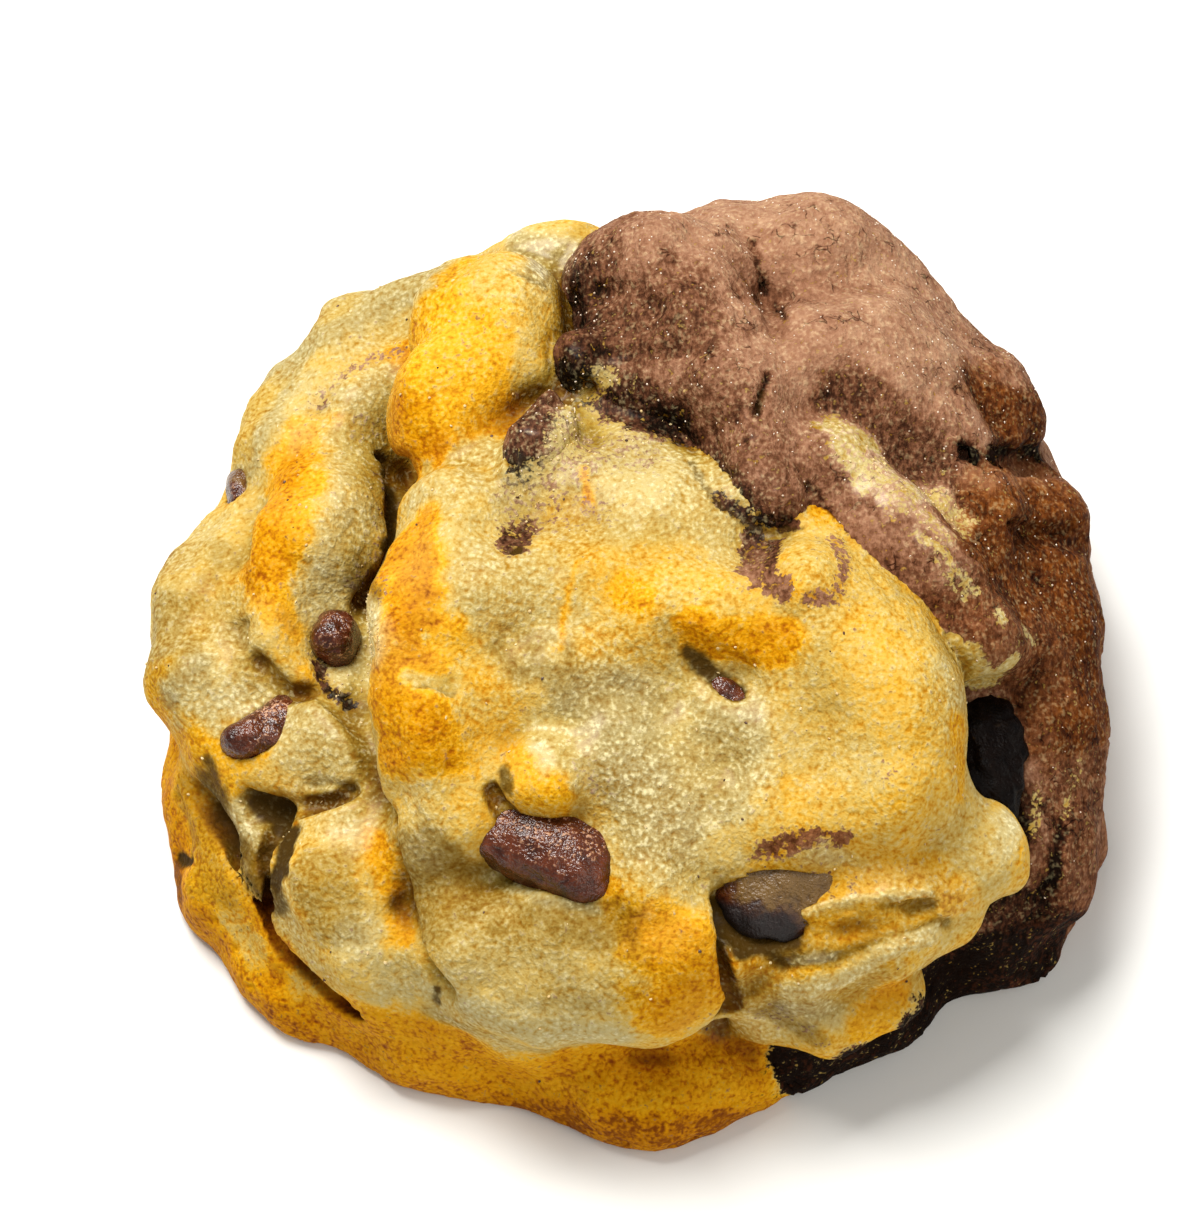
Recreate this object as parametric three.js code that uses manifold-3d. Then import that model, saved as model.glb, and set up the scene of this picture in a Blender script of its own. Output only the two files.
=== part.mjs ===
// A thick baked cookie made of two doughs pressed together: pale chocolate-chip dough
// on the left and front, cocoa dough on the right and back, with chocolate chips and
// a dark chunk showing at the surface.
//
// Millimetres, +Z up. The cookie stands on its flat underside at Z = 0, with the
// middle of its bounding box over the origin. The front of the cookie faces -Y.
//
// Each dough is a heap of folds. A fold is a chain of balls along a spine, and the
// skin of a dough is the level surface that joins its folds softly. The skin is
// meshed on a grid of cells, one vertex to a cell, and the underside is cut flat.
import * as THREE from 'three';
import { mergeVertices } from 'three/addons/utils/BufferGeometryUtils.js';
import Module from 'manifold-3d';

// Driving dimensions.
const HALF_WIDTH = 50; // half the side of the grid
const HEIGHT = 46; // top of the grid
const BELOW = 8; // how far the dough is modelled below the underside, before the cut
const CELL = 3.3; // cell of the meshing grid
const FOLD_BLEND = 2.2; // width over which neighbouring folds run together
const CORE_BLEND = 2; // width over which the folds sink into the core
const CREASE_BLEND = 2; // width over which a crease's lips are rounded
const PLATEAU_BLEND = 4; // width over which the rolls of the plateau, and of the cocoa back, join
const FRONT_BLEND = 3; // width over which the two rolls of the front fold join
const HUMP_BLEND = 2.5; // width over which the rolls of the cocoa hump join
const RELAXED = 0.5; // share of the way that a vertex moves towards its neighbours' middle
const GAP = 0.35; // clearance between touching pieces
const SKIN_WAVE = 0.35; // height of the dough's slow unevenness
const PALE_FOOT_RISE = 1.05; // how much taller than wide the pale dough's browned foot is
const COCOA_FOOT_RISE = 1.7; // the same for the cocoa dough's foot, a steeper wall
const CHIP_SIDES = 12; // facets round a chocolate piece
const CHIP_RINGS = 7; // facets from its one pole to its other
const TABLE_SIDE = 200; // the block that cuts the underside flat
const TABLE_DEPTH = 32;
const FILLED = 0.02; // how far inside a filled corner of the grid is, in cells
const FAR = 1000; // a distance beyond the cookie
const TINY = 1e-9; // a slope too small to divide by
const SKIN_WAVES = [
  // runs in x, y and z in radians a millimetre, and the phase
  [0.55, 0.31, 0.2, 0],
  [-0.36, 0.62, 0.25, 1.3],
  [0.2, -0.28, 0.71, 2.1],
];

// ---------------------------------------------------------------- distance functions

/** A chain of balls. Each point of the spine is [x, y, z, radius]; rise stretches it upwards. */
function roll(spine, rise = 1) {
  return (x, y, z) => {
    let nearest = Infinity;
    for (let i = 0; i + 1 < spine.length; i++) {
      const [ax, ay, az, ar] = spine[i];
      const [bx, by, bz, br] = spine[i + 1];
      const [dx, dy, dz] = [bx - ax, by - ay, (bz - az) / rise];
      const [px, py, pz] = [x - ax, y - ay, (z - az) / rise];
      const along = (px * dx + py * dy + pz * dz) / (dx * dx + dy * dy + dz * dz);
      const t = Math.min(1, Math.max(0, along));
      const away = Math.hypot(px - t * dx, py - t * dy, pz - t * dz);
      nearest = Math.min(nearest, away - ar - t * (br - ar));
    }
    return nearest;
  };
}

/** An ellipsoid, turned by yaw degrees about Z. */
function mound([cx, cy, cz], [rx, ry, rz], yaw = 0) {
  const cos = Math.cos(THREE.MathUtils.degToRad(yaw));
  const sin = Math.sin(THREE.MathUtils.degToRad(yaw));
  return (x, y, z) => {
    const px = (x - cx) * cos + (y - cy) * sin;
    const py = (y - cy) * cos - (x - cx) * sin;
    const pz = z - cz;
    const scaled = Math.hypot(px / rx, py / ry, pz / rz);
    const slope = Math.hypot(px / (rx * rx), py / (ry * ry), pz / (rz * rz));
    return slope < TINY ? -Math.min(rx, ry, rz) : (scaled * (scaled - 1)) / slope;
  };
}

/** The lower of two distances, rounded over a width. */
function soften(a, b, width) {
  const h = Math.max(width - Math.abs(a - b), 0) / width;
  return Math.min(a, b) - (h * h * width) / 4;
}

/** Several shapes run together over a width. */
function joined(width, ...shapes) {
  return (x, y, z) => shapes.reduce((d, shape) => soften(d, shape(x, y, z), width), FAR);
}

/** A dough's distance function: its folds joined to each other and to its core, then creased. */
function dough(folds, core, creases) {
  const heap = joined(FOLD_BLEND, ...Object.values(folds));
  const grooves = joined(FOLD_BLEND, ...Object.values(creases));
  return (x, y, z) => {
    const whole = soften(heap(x, y, z), core(x, y, z), CORE_BLEND) + unevenness(x, y, z);
    return -soften(-whole, grooves(x, y, z), CREASE_BLEND);
  };
}

/** Slow waves, so that no fold is quite round. */
function unevenness(x, y, z) {
  let total = 0;
  for (const [a, b, c, phase] of SKIN_WAVES) total += Math.sin(a * x + b * y + c * z + phase);
  return (SKIN_WAVE / SKIN_WAVES.length) * total;
}

// ---------------------------------------------------------------- the pale dough

const paleFolds = {
  foot: roll(
    [
      [-14, 33.5, 3, 7], [-26, 28, 3, 7], [-32.5, 17, 3, 7], [-36, 5, 3, 7], [-37, -8, 1.5, 7],
      [-35.5, -17, 1, 7], [-29.5, -24.5, 1, 7], [-20, -30.2, 1, 7], [-11, -32, 1, 7],
      [-3, -34.7, 1, 7.3], [2.5, -36.5, 1, 7.2], [8, -33.7, 1, 6.8],
    ],
    PALE_FOOT_RISE,
  ),
  rim: roll([
    [-34.5, 17, 15, 4.2], [-32.4, 22.3, 16, 4.6], [-30.2, 27.2, 17, 4.8], [-25.8, 32, 17.5, 5],
    [-21, 33.8, 18.5, 5], [-16.2, 34.3, 20, 5],
  ]),
  rim_slope: roll([[-30, 18.5, 15.5, 6.6], [-26, 23.5, 16.5, 7], [-20, 28, 17.5, 7]]),
  back_crown: roll([[-10, 34.6, 25, 4.8], [-5, 35.6, 26, 4.6], [-7, 30, 21, 7]]),
  crest: roll([[-13, 26, 30, 7.6], [-17.5, 17, 30, 6]]),
  left_ridge: roll([
    [-29.5, 18.5, 19, 3.8], [-29, 12, 21.8, 4.6], [-29.6, 6, 22.4, 4.8], [-32, 1.5, 20.5, 4.2],
  ]),
  left_ridge_flank: roll([[-26, 15, 18.5, 5], [-25.2, 8, 18.8, 5.4], [-27, 2, 17.5, 5]]),
  cheek_slope: roll([[-34.5, 10, 13.8, 6.4], [-35.5, 3, 14, 6.6], [-34.5, -3.5, 14, 6.4]]),
  left_cheek: roll([
    [-36, 11.2, 15, 4.1], [-38.9, 4, 16, 5.5], [-39, -3, 15.5, 5.7], [-37, -7.5, 14.5, 5.2],
    [-32.5, -10.5, 14, 4.4],
  ]),
  apron: roll([[-30, -11, 16.5, 5], [-25.5, -10.5, 17, 5.2]]),
  tongue: roll([
    [-26.5, -18.5, 15.5, 5], [-26, -23.5, 14.5, 5.8], [-23, -28, 13, 5.4], [-19.5, -30.5, 12, 3.4],
  ]),
  front_fold: joined(
    FRONT_BLEND,
    roll([[-12.5, -30.5, 15.5, 7.4], [-7, -31.5, 16, 8], [-0.5, -31, 16, 8]]),
    roll([[0.5, -29, 23, 3.8], [3.5, -32, 20, 5.4], [4.5, -33.5, 17, 5]]),
  ),
  plateau: joined(
    PLATEAU_BLEND,
    roll([
      [-15.5, 5, 30, 5.6], [-16, -1.5, 30.5, 6.2], [-17.5, -7.5, 30, 6.2], [-18, -12.5, 29, 5.6],
      [-17.5, -16.5, 27, 5.4], [-15.5, -21, 23, 5.4], [-16, -25, 18, 5],
    ]),
    roll([[-6.5, 7, 30, 6], [2.5, 4.5, 30.5, 6]]),
    roll([[-9, 10.5, 28, 5.4], [-3.5, 15.5, 27, 5.6], [2.2, 10.5, 27.6, 6], [8, 3, 28.4, 6]]),
    roll([[-10.5, -11, 27, 6], [-9, -16.5, 25.4, 6]]),
    roll([[9.5, 4.5, 29.4, 5.6], [14.2, 3, 29.4, 5.2]]),
    roll([
      [-10, -4, 31, 5], [-3.5, -3.5, 32, 5], [3.5, -4.5, 32, 5], [10, -7, 32, 5], [16, -8.5, 32, 5],
    ]),
    roll([[17.5, -4, 30.4, 6], [21.6, -9.5, 29.6, 7], [22.8, -15, 27.9, 7.4], [22, -19.5, 25, 7]]),
    roll([[-2, -8, 23, 11], [0, -19, 19, 11]]),
    roll([[13, -8, 23, 11], [12, -18, 20, 11]]),
  ),
  bead: roll([[-8.3, -19.4, 29.8, 2.6], [-8, -21.6, 29.2, 2.4]]),
  blob: mound([15, -4.5, 36.4], [3, 2.6, 2.6]),
  right_tongue: roll([[24, -21.5, 21, 6], [30, -22.5, 19.5, 5]]),
  strands: roll([
    [9, -33, 15.5, 3], [14, -31.5, 18.5, 3.6], [20, -29.5, 19.8, 4], [27, -27.5, 18.5, 3.4],
  ]),
  lip: roll([[12.5, -34, 10, 3.6], [17, -33.5, 11, 4.4], [22.5, -32, 11, 4]]),
};

const paleCore = mound([-8, -5, 8], [34, 33, 15]);

const paleCreases = {
  valley: roll([[-21.5, 15.5, 21, 2], [-22, 6, 22.5, 2.2], [-24.5, 1, 23, 2]]),
  cheek_tongue: roll([[-36, -18, 15, 2], [-32.5, -18.5, 16, 2]]),
  slot: roll([[4, -9.6, 35, 2], [11, -14, 34, 2.2]]),
};

// ---------------------------------------------------------------- the cocoa dough

const cocoaFolds = {
  foot: roll(
    [
      [14.5, -29.4, 2, 6.8], [19.6, -28.8, 2, 6.8], [26, -23, 2, 6.8], [34.4, -19.2, 3, 7.4],
      [36.8, -12.5, 4, 7.2], [36.3, -2, 3, 7], [36.6, 8, 3, 7], [33, 18, 3, 7], [27, 27, 3, 7],
      [18, 34, 3, 7.5], [7, 33.5, 3, 7], [-3, 32, 3, 7],
    ],
    COCOA_FOOT_RISE,
  ),
  back: joined(
    PLATEAU_BLEND,
    roll([[5.5, 34, 23.5, 8.4], [16, 33.5, 24, 10.2], [20, 31.7, 22, 10], [25.6, 27.1, 19, 8.8]]),
    mound([19, 20, 25], [13, 11, 11], 20),
    roll([[14.5, 20, 31, 6], [22, 18, 29, 5.8], [27.5, 15, 27, 5.4], [31.5, 8.5, 25, 5.4]]),
  ),
  cheek: roll([[27, 26, 21, 6.8], [32.5, 22.5, 20.5, 6.6]]),
  hump: joined(
    HUMP_BLEND,
    roll([[0.6, 31.8, 30, 6.6], [2.5, 30, 31.8, 7], [4.5, 29, 30.8, 8]]),
    roll([[2.5, 21.5, 30.5, 7], [9, 20, 28, 7]]),
    roll([[7.5, 21, 33.6, 6], [10.5, 14.5, 33.6, 5.8], [12.8, 9, 33, 4.8]]),
    roll([[14, 17, 29.5, 6.5], [17.5, 10, 28.5, 6.5]]),
    roll([[-5, 25, 24, 6], [-1, 22, 21, 9], [12, 16, 20, 13]]),
  ),
  nub: roll([[-4.5, 20.5, 33, 3], [-2.5, 20.5, 31, 3.4]]),
  tail: roll([[-8, 15.5, 33.8, 3.4], [-9.5, 12.2, 34.2, 3.2], [-10.8, 8.8, 33.8, 2.6]]),
  strip: roll([[18, 9.5, 32.6, 4], [22.5, 3.5, 31.6, 4.6], [26.6, -1.2, 30, 5], [29.6, -5, 28, 4.6]]),
  strip_slope: roll([[22.5, 12.5, 25, 7], [27, 5, 23.5, 7.4], [31, -2, 20.5, 7.4]]),
  side_upper: roll([[32, 14, 19.5, 7], [36.6, 12.5, 17.5, 6.4]]),
  side_lower: roll([
    [35, 6.5, 16, 8.4], [34.6, -2.5, 15, 8.8], [35.5, -12, 12, 8.3], [34.4, -19, 9, 7.8],
  ]),
};

const cocoaCore = mound([14, 11, 9], [30, 29, 18]);

const cocoaCreases = {
  cheek_fold: roll([[29.5, 12, 30.5, 1.6], [33, 13.5, 27, 2.2], [39, 16.5, 21, 2.4]]),
  side_fold: roll([[35, 6.5, 27.5, 1.8], [42.5, 8.5, 21, 2]]),
};

// ---------------------------------------------------------------- chocolate pieces

/** A drop of chocolate, softened in the oven: an ellipsoid bent along its length, then turned. */
function chip({ size, bend = 0, turn = [0, 0, 0], place }, swell = 0) {
  const [length, width, depth] = size.map((s) => s / 2 + swell);
  const shape = new THREE.SphereGeometry(1, CHIP_SIDES, CHIP_RINGS).scale(length, width, depth);
  const points = shape.getAttribute('position');
  for (let i = 0; i < points.count; i++) {
    const share = points.getX(i) / length;
    points.setY(i, points.getY(i) + bend * share * share);
  }
  const [aboutX, aboutY, aboutZ] = turn.map(THREE.MathUtils.degToRad);
  return shape.rotateX(aboutX).rotateY(aboutY).rotateZ(aboutZ).translate(...place);
}

const chips = {
  chip_front: { size: [14, 7.8, 6.8], bend: -0.8, turn: [6, 0, -28], place: [-8.2, -25.2, 24.6] },
  chip_right: { size: [13.6, 12.4, 7], bend: 0.6, turn: [24, 0, 12], place: [13.5, -26.2, 23] },
  chip_cheek: { size: [8.5, 4.6, 5], bend: 1, turn: [0, 10, 38], place: [-34.3, -10.4, 18.8] },
  chip_valley: { size: [4.4, 6.2, 6], turn: [0, 0, -10], place: [-26.8, -2.8, 21.8] },
  chip_slot: { size: [8.4, 4.4, 5], turn: [0, 12, -35], place: [9.8, -13, 31.6] },
  chip_rim: { size: [4, 6, 4.5], place: [-35.9, 15.8, 17.2] },
  chunk_dark: { size: [8, 14, 11], turn: [0, 10, 0], place: [31.6, -13.4, 18.6] },
};

// ---------------------------------------------------------------- meshing

const gridSides = [2 * HALF_WIDTH, 2 * HALF_WIDTH, HEIGHT + BELOW];
const [NX, NY, NZ] = gridSides.map((side) => Math.ceil(side / CELL) + 1);
const corner = (i, j, k) => i + NX * (j + NY * k);
const placeOf = (i, j, k) => [i * CELL - HALF_WIDTH, j * CELL - HALF_WIDTH, k * CELL - BELOW];

/** The distance at every corner of the grid, closed off below the underside. */
function sample(distance) {
  const values = new Float64Array(NX * NY * NZ);
  for (let k = 0; k < NZ; k++)
    for (let j = 0; j < NY; j++)
      for (let i = 0; i < NX; i++) {
        const [x, y, z] = placeOf(i, j, k);
        values[corner(i, j, k)] = Math.max(distance(x, y, z), -z - BELOW / 2);
      }
  return values;
}

/** Fills squares whose solid corners touch only across a diagonal, which would pinch the skin. */
function closeDiagonals(values) {
  const strides = [1, NX, NX * NY];
  for (let changed = true; changed; ) {
    changed = false;
    for (let axis = 0; axis < 3; axis++) {
      const [s, t] = strides.filter((_, other) => other !== axis);
      for (let c = 0; c + s + t < values.length; c++) {
        const [a, b, d, e] = [values[c], values[c + s], values[c + t], values[c + s + t]];
        if (a < 0 !== e < 0 || b < 0 !== d < 0 || a < 0 === b < 0) continue;
        const outside = a < 0 ? [c + s, c + t] : [c, c + s + t];
        const fill = values[outside[0]] < values[outside[1]] ? outside[0] : outside[1];
        values[fill] = -FILLED * CELL;
        changed = true;
      }
    }
  }
  return values;
}

/** The skin at distance 0 as a closed geometry: a vertex in each cell that the skin crosses. */
function skin(values) {
  const vertices = [];
  const faces = [];
  const vertexOf = new Int32Array(values.length).fill(-1);
  for (let k = 0; k + 1 < NZ; k++)
    for (let j = 0; j + 1 < NY; j++)
      for (let i = 0; i + 1 < NX; i++) {
        const middle = crossing(values, i, j, k);
        if (!middle) continue;
        vertexOf[corner(i, j, k)] = vertices.length / 3;
        vertices.push(...middle);
      }
  const strides = [1, NX, NX * NY];
  for (let k = 1; k + 1 < NZ; k++)
    for (let j = 1; j + 1 < NY; j++)
      for (let i = 1; i + 1 < NX; i++)
        for (let axis = 0; axis < 3; axis++) {
          const c = corner(i, j, k);
          const inside = values[c] < 0;
          if (inside === values[c + strides[axis]] < 0) continue;
          const u = strides[(axis + 1) % 3];
          const v = strides[(axis + 2) % 3];
          const ring = [c, c - u, c - u - v, c - v].map((n) => vertexOf[n]);
          if (!inside) ring.reverse();
          if (apart(vertices, ring[1], ring[3]) < apart(vertices, ring[0], ring[2]))
            ring.push(ring.shift());
          faces.push(ring[0], ring[1], ring[2], ring[0], ring[2], ring[3]);
        }
  const geometry = new THREE.BufferGeometry();
  geometry.setAttribute('position', new THREE.Float32BufferAttribute(relax(vertices, faces), 3));
  geometry.setIndex(faces);
  return geometry;
}

/** The distance between two vertices. */
function apart(vertices, a, b) {
  return Math.hypot(...[0, 1, 2].map((axis) => vertices[3 * a + axis] - vertices[3 * b + axis]));
}

/** Moves each vertex towards the middle of its neighbours, which evens out the cells' steps. */
function relax(vertices, faces) {
  const sums = new Float64Array(vertices.length);
  const counts = new Float64Array(vertices.length / 3);
  for (let f = 0; f < faces.length; f++) {
    const here = faces[f];
    const next = faces[f % 3 === 2 ? f - 2 : f + 1];
    for (let axis = 0; axis < 3; axis++) sums[3 * here + axis] += vertices[3 * next + axis];
    counts[here]++;
  }
  return vertices.map((value, n) => value + RELAXED * (sums[n] / counts[Math.floor(n / 3)] - value));
}

/** The mean of the points where the skin crosses a cell's edges, or nothing. */
function crossing(values, i, j, k) {
  const sum = new THREE.Vector3();
  let count = 0;
  for (let axis = 0; axis < 3; axis++)
    for (const [p, q] of [[0, 0], [0, 1], [1, 0], [1, 1]]) {
      const from = [i, j, k];
      from[(axis + 1) % 3] += p;
      from[(axis + 2) % 3] += q;
      const to = [...from];
      to[axis] += 1;
      const [a, b] = [values[corner(...from)], values[corner(...to)]];
      if (a < 0 === b < 0) continue;
      const point = new THREE.Vector3(...placeOf(...from));
      point.setComponent(axis, point.getComponent(axis) + (CELL * a) / (a - b));
      sum.add(point);
      count++;
    }
  return count ? sum.divideScalar(count).toArray() : null;
}

// ---------------------------------------------------------------- solids

const wasm = await Module();
wasm.setup();

/** A geometry as a solid that can be cut. */
function solid(geometry) {
  const bare = geometry.clone();
  bare.deleteAttribute('normal');
  bare.deleteAttribute('uv');
  const merged = mergeVertices(bare);
  return new wasm.Manifold(
    new wasm.Mesh({
      numProp: 3,
      vertProperties: new Float32Array(merged.getAttribute('position').array),
      triVerts: new Uint32Array(merged.index.array),
    }),
  );
}

/** A solid as a geometry. */
function geometryOf(piece) {
  const { vertProperties, triVerts } = piece.getMesh();
  const geometry = new THREE.BufferGeometry();
  geometry.setAttribute('position', new THREE.BufferAttribute(vertProperties, 3));
  geometry.setIndex(new THREE.BufferAttribute(triVerts, 1));
  geometry.computeVertexNormals();
  return geometry;
}

/** The largest body of a solid that a cut may have left in pieces. */
function largest(piece) {
  return piece.decompose().sort((a, b) => b.volume() - a.volume())[0];
}

const palePlain = dough(paleFolds, paleCore, paleCreases);
const cocoaPlain = dough(cocoaFolds, cocoaCore, cocoaCreases);
const paleValues = sample((x, y, z) => {
  const pale = palePlain(x, y, z);
  return Math.max(pale, (pale - cocoaPlain(x, y, z)) / 2);
});
const cocoaValues = sample(cocoaPlain);

const table = solid(
  new THREE.BoxGeometry(TABLE_SIDE, TABLE_SIDE, TABLE_DEPTH).translate(0, 0, -TABLE_DEPTH / 2),
);
const sockets = Object.values(chips).map((one) => solid(chip(one, GAP)));

/** A dough cut flat below and hollowed for each chocolate piece. */
function cut(piece) {
  return largest(sockets.reduce((rest, socket) => rest.subtract(socket), piece.subtract(table)));
}

// the pale dough ends halfway to the cocoa dough's skin, and the cocoa dough a gap short of it
const paleSwollen = solid(skin(closeDiagonals(paleValues.map((d) => d - 2 * GAP))));
const paleSolid = cut(solid(skin(closeDiagonals(paleValues.slice()))));
const cocoaSolid = cut(solid(skin(closeDiagonals(cocoaValues))).subtract(paleSwollen));

// ---------------------------------------------------------------- the cookie

const finishes = {
  pale: new THREE.MeshStandardMaterial({ color: 0xe0b34c, roughness: 0.75, metalness: 0 }),
  cocoa: new THREE.MeshStandardMaterial({ color: 0x7a5040, roughness: 0.85, metalness: 0 }),
  chocolate: new THREE.MeshStandardMaterial({ color: 0x4a2416, roughness: 0.35, metalness: 0 }),
  dark: new THREE.MeshStandardMaterial({ color: 0x1d0f0e, roughness: 0.3, metalness: 0 }),
};

const cookie = new THREE.Group();

/** Adds a named piece to the cookie. */
function add(name, geometry, finish) {
  const mesh = new THREE.Mesh(geometry, finish);
  mesh.name = name;
  cookie.add(mesh);
}

add('pale_dough', geometryOf(paleSolid), finishes.pale);
add('cocoa_dough', geometryOf(cocoaSolid), finishes.cocoa);
for (const [name, one] of Object.entries(chips))
  add(name, chip(one), name === 'chunk_dark' ? finishes.dark : finishes.chocolate);

const box = new THREE.Box3().setFromObject(cookie);
const middle = box.getCenter(new THREE.Vector3());
cookie.children.forEach((mesh) => mesh.position.set(-middle.x, -middle.y, -box.min.z));

export default cookie;
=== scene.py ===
"""A brookie: pale chocolate-chip dough and cocoa dough pressed together and baked as one thick cookie.

The folds of each dough are chains of balls, given in millimetres in the baker's frame: X to
the right, Y to the back, Z up from the tray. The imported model's frame is that frame moved
sideways a little, which is read back from one of its chips. Every mesh is in metres in the
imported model's frame.
"""

from __future__ import annotations

import logging
import math
from dataclasses import dataclass, field
from enum import Enum
from typing import Callable, Mapping, Sequence

import bmesh
import bpy
import numpy as np
from mathutils import Euler, Matrix, Vector
from mathutils.bvhtree import BVHTree


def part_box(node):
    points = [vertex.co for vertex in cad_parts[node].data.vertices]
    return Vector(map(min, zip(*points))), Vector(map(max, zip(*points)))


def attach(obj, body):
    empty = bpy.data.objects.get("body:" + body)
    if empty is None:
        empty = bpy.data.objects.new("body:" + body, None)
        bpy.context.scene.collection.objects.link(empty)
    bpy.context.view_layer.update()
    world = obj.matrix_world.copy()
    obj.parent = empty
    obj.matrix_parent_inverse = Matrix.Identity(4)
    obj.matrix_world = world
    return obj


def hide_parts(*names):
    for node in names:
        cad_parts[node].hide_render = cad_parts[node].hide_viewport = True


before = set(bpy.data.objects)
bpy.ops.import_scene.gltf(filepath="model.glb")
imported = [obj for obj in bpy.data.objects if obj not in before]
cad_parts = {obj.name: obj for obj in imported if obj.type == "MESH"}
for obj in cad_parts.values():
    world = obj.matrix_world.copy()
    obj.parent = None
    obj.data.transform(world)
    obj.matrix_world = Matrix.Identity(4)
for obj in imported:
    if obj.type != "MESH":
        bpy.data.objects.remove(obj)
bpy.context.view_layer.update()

log = logging.getLogger("brookie")

MM = 0.001  # metres in a millimetre
BODY = "root"
RIM_CHIP = (-35.9, 15.8, 17.2)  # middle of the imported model's chip_rim in the baker's frame

PALE_CELL = 0.52  # the same for the pale dough
COCOA_CELL = 0.46  # the same for the cocoa dough

Points = np.ndarray  # rows of x, y, z in millimetres
Numbers = np.ndarray  # one number for each row of points
Distance = Callable[[Points], Numbers]
Ball = tuple[float, float, float, float]  # x, y, z, radius
Place = tuple[float, float, float]
Pixel = tuple[float, float]
Hue = tuple[float, float, float]  # red, green, blue from 0 to 255, as seen on a screen


# -------------------- numbers


LOW_BITS = 0xFFFFFFFF
SCRAMBLE = 0x45D9F3B
AXIS_PRIMES = (73856093, 19349663, 83492791)  # so that neighbouring cells differ
SEED_STEP = 2654435
NOISE_GAIN = 2.6  # brings the noise to about 1 at its peaks


def smoothstep(low: float, high: float, values: Numbers) -> Numbers:
    """Eases from 0 at low to 1 at high."""
    t = np.clip((values - low) / (high - low), 0.0, 1.0)
    return t * t * (3.0 - 2.0 * t)


def soften(a: Numbers, b: Numbers, width: float) -> Numbers:
    """The lower of two distances, rounded over a width."""
    h = np.maximum(width - np.abs(a - b), 0.0) / width
    return np.minimum(a, b) - h * h * width / 4.0


def linear(hue: Hue) -> tuple[float, float, float, float]:
    """A screen colour as the shader's linear red, green, blue and alpha."""
    parts = [c / 255.0 for c in hue]
    light = [p / 12.92 if p <= 0.04045 else ((p + 0.055) / 1.055) ** 2.4 for p in parts]
    return (light[0], light[1], light[2], 1.0)


def hashed(cells: np.ndarray, seed: int) -> Numbers:
    """A repeatable number from 0 to 1 for each row of whole numbers."""
    x, y, z = (cells * np.array(AXIS_PRIMES)).T
    mixed = x ^ y ^ z ^ seed * SEED_STEP
    for _ in range(2):
        mixed = (mixed & LOW_BITS ^ (mixed & LOW_BITS) >> 16) * SCRAMBLE
    return (mixed & LOW_BITS) / LOW_BITS


def noise(points: Points, wavelength: float, seed: int) -> Numbers:
    """Smooth noise of about -1 to 1.

    Args:
        points: Where to read it.
        wavelength: Size of its lumps in millimetres.
        seed: Which noise.

    Returns:
        A number for each point.
    """
    scaled = points / wavelength
    base = np.floor(scaled).astype(np.int64)
    within = scaled - base
    ease = within**3 * (within * (within * 6.0 - 15.0) + 10.0)
    total = np.zeros(len(points))
    for step in np.ndindex(2, 2, 2):
        offset = np.array(step)
        weight = np.prod(np.where(offset == 1, ease, 1.0 - ease), axis=1)
        slopes = np.stack([hashed(base + offset, 3 * seed + axis) for axis in range(3)], axis=1) - 0.5
        total += weight * np.sum(slopes * (within - offset), axis=1)
    return total * NOISE_GAIN


def cells_near(points: Points, size: float, seed: int) -> tuple[Numbers, Numbers, Numbers]:
    """Distances to the two nearest of a cloud of scattered seeds.

    Args:
        points: Where to read it.
        size: Spacing of the seeds in millimetres.
        seed: Which cloud.

    Returns:
        The nearest and second nearest distance in spacings, and the nearest seed's own number.
    """
    scaled = points / size
    base = np.floor(scaled).astype(np.int64)
    first = np.full(len(points), 9.0)
    second = first.copy()
    own = np.zeros(len(points))
    for step in np.ndindex(3, 3, 3):
        cell = base + np.array(step) - 1
        jitter = np.stack([hashed(cell, 5 * seed + axis) for axis in range(3)], axis=1)
        away = np.linalg.norm(cell + jitter - scaled, axis=1)
        nearer = away < first
        second = np.where(nearer, first, np.minimum(second, away))
        own = np.where(nearer, jitter[:, 0], own)
        first = np.where(nearer, away, first)
    return first, second, own


# -------------------- shapes as distances


@dataclass(frozen=True)
class Roll:
    """A chain of balls along a spine: one fold of dough, or one crease.

    Attributes:
        spine: The balls.
        rise: How much taller than wide the chain is.
        near: Past this the distance to the chain's box will do.
    """

    spine: Sequence[Ball]
    rise: float = 1.0
    near: float = 4.5

    def __call__(self, points: Points) -> Numbers:
        """The distance of each point from the chain, less than zero inside."""
        balls = np.array(self.spine)
        tall = np.array([1.0, 1.0, self.rise])
        low = (balls[:, :3] - balls[:, 3:] * tall).min(axis=0)
        high = (balls[:, :3] + balls[:, 3:] * tall).max(axis=0)
        result = np.linalg.norm(np.maximum(np.maximum(low - points, points - high), 0.0), axis=1)
        close = result < self.near
        here = points[close]
        nearest = np.full(len(here), np.inf)
        for a, b in zip(balls, balls[1:]):
            along = (b[:3] - a[:3]) / tall
            away = (here - a[:3]) / tall
            t = np.clip(away @ along / (along @ along), 0.0, 1.0)
            gap = np.linalg.norm(away - t[:, None] * along, axis=1) - a[3] - t * (b[3] - a[3])
            nearest = np.minimum(nearest, gap)
        result[close] = nearest
        return result


@dataclass(frozen=True)
class Mound:
    """An ellipsoid.

    Attributes:
        centre: Its middle.
        radii: Half its length, width and height.
        yaw: Degrees that it is turned about Z.
    """

    centre: Place
    radii: Place
    yaw: float = 0.0

    def __call__(self, points: Points) -> Numbers:
        """The distance of each point from the mound, less than zero inside."""
        turn = np.array(Matrix.Rotation(-math.radians(self.yaw), 3, "Z"))
        local = (points - self.centre) @ turn.T
        radii = np.array(self.radii)
        scaled = np.linalg.norm(local / radii, axis=1)
        slope = np.linalg.norm(local / radii**2, axis=1)
        return scaled * (scaled - 1.0) / np.maximum(slope, 1e-6)


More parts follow.
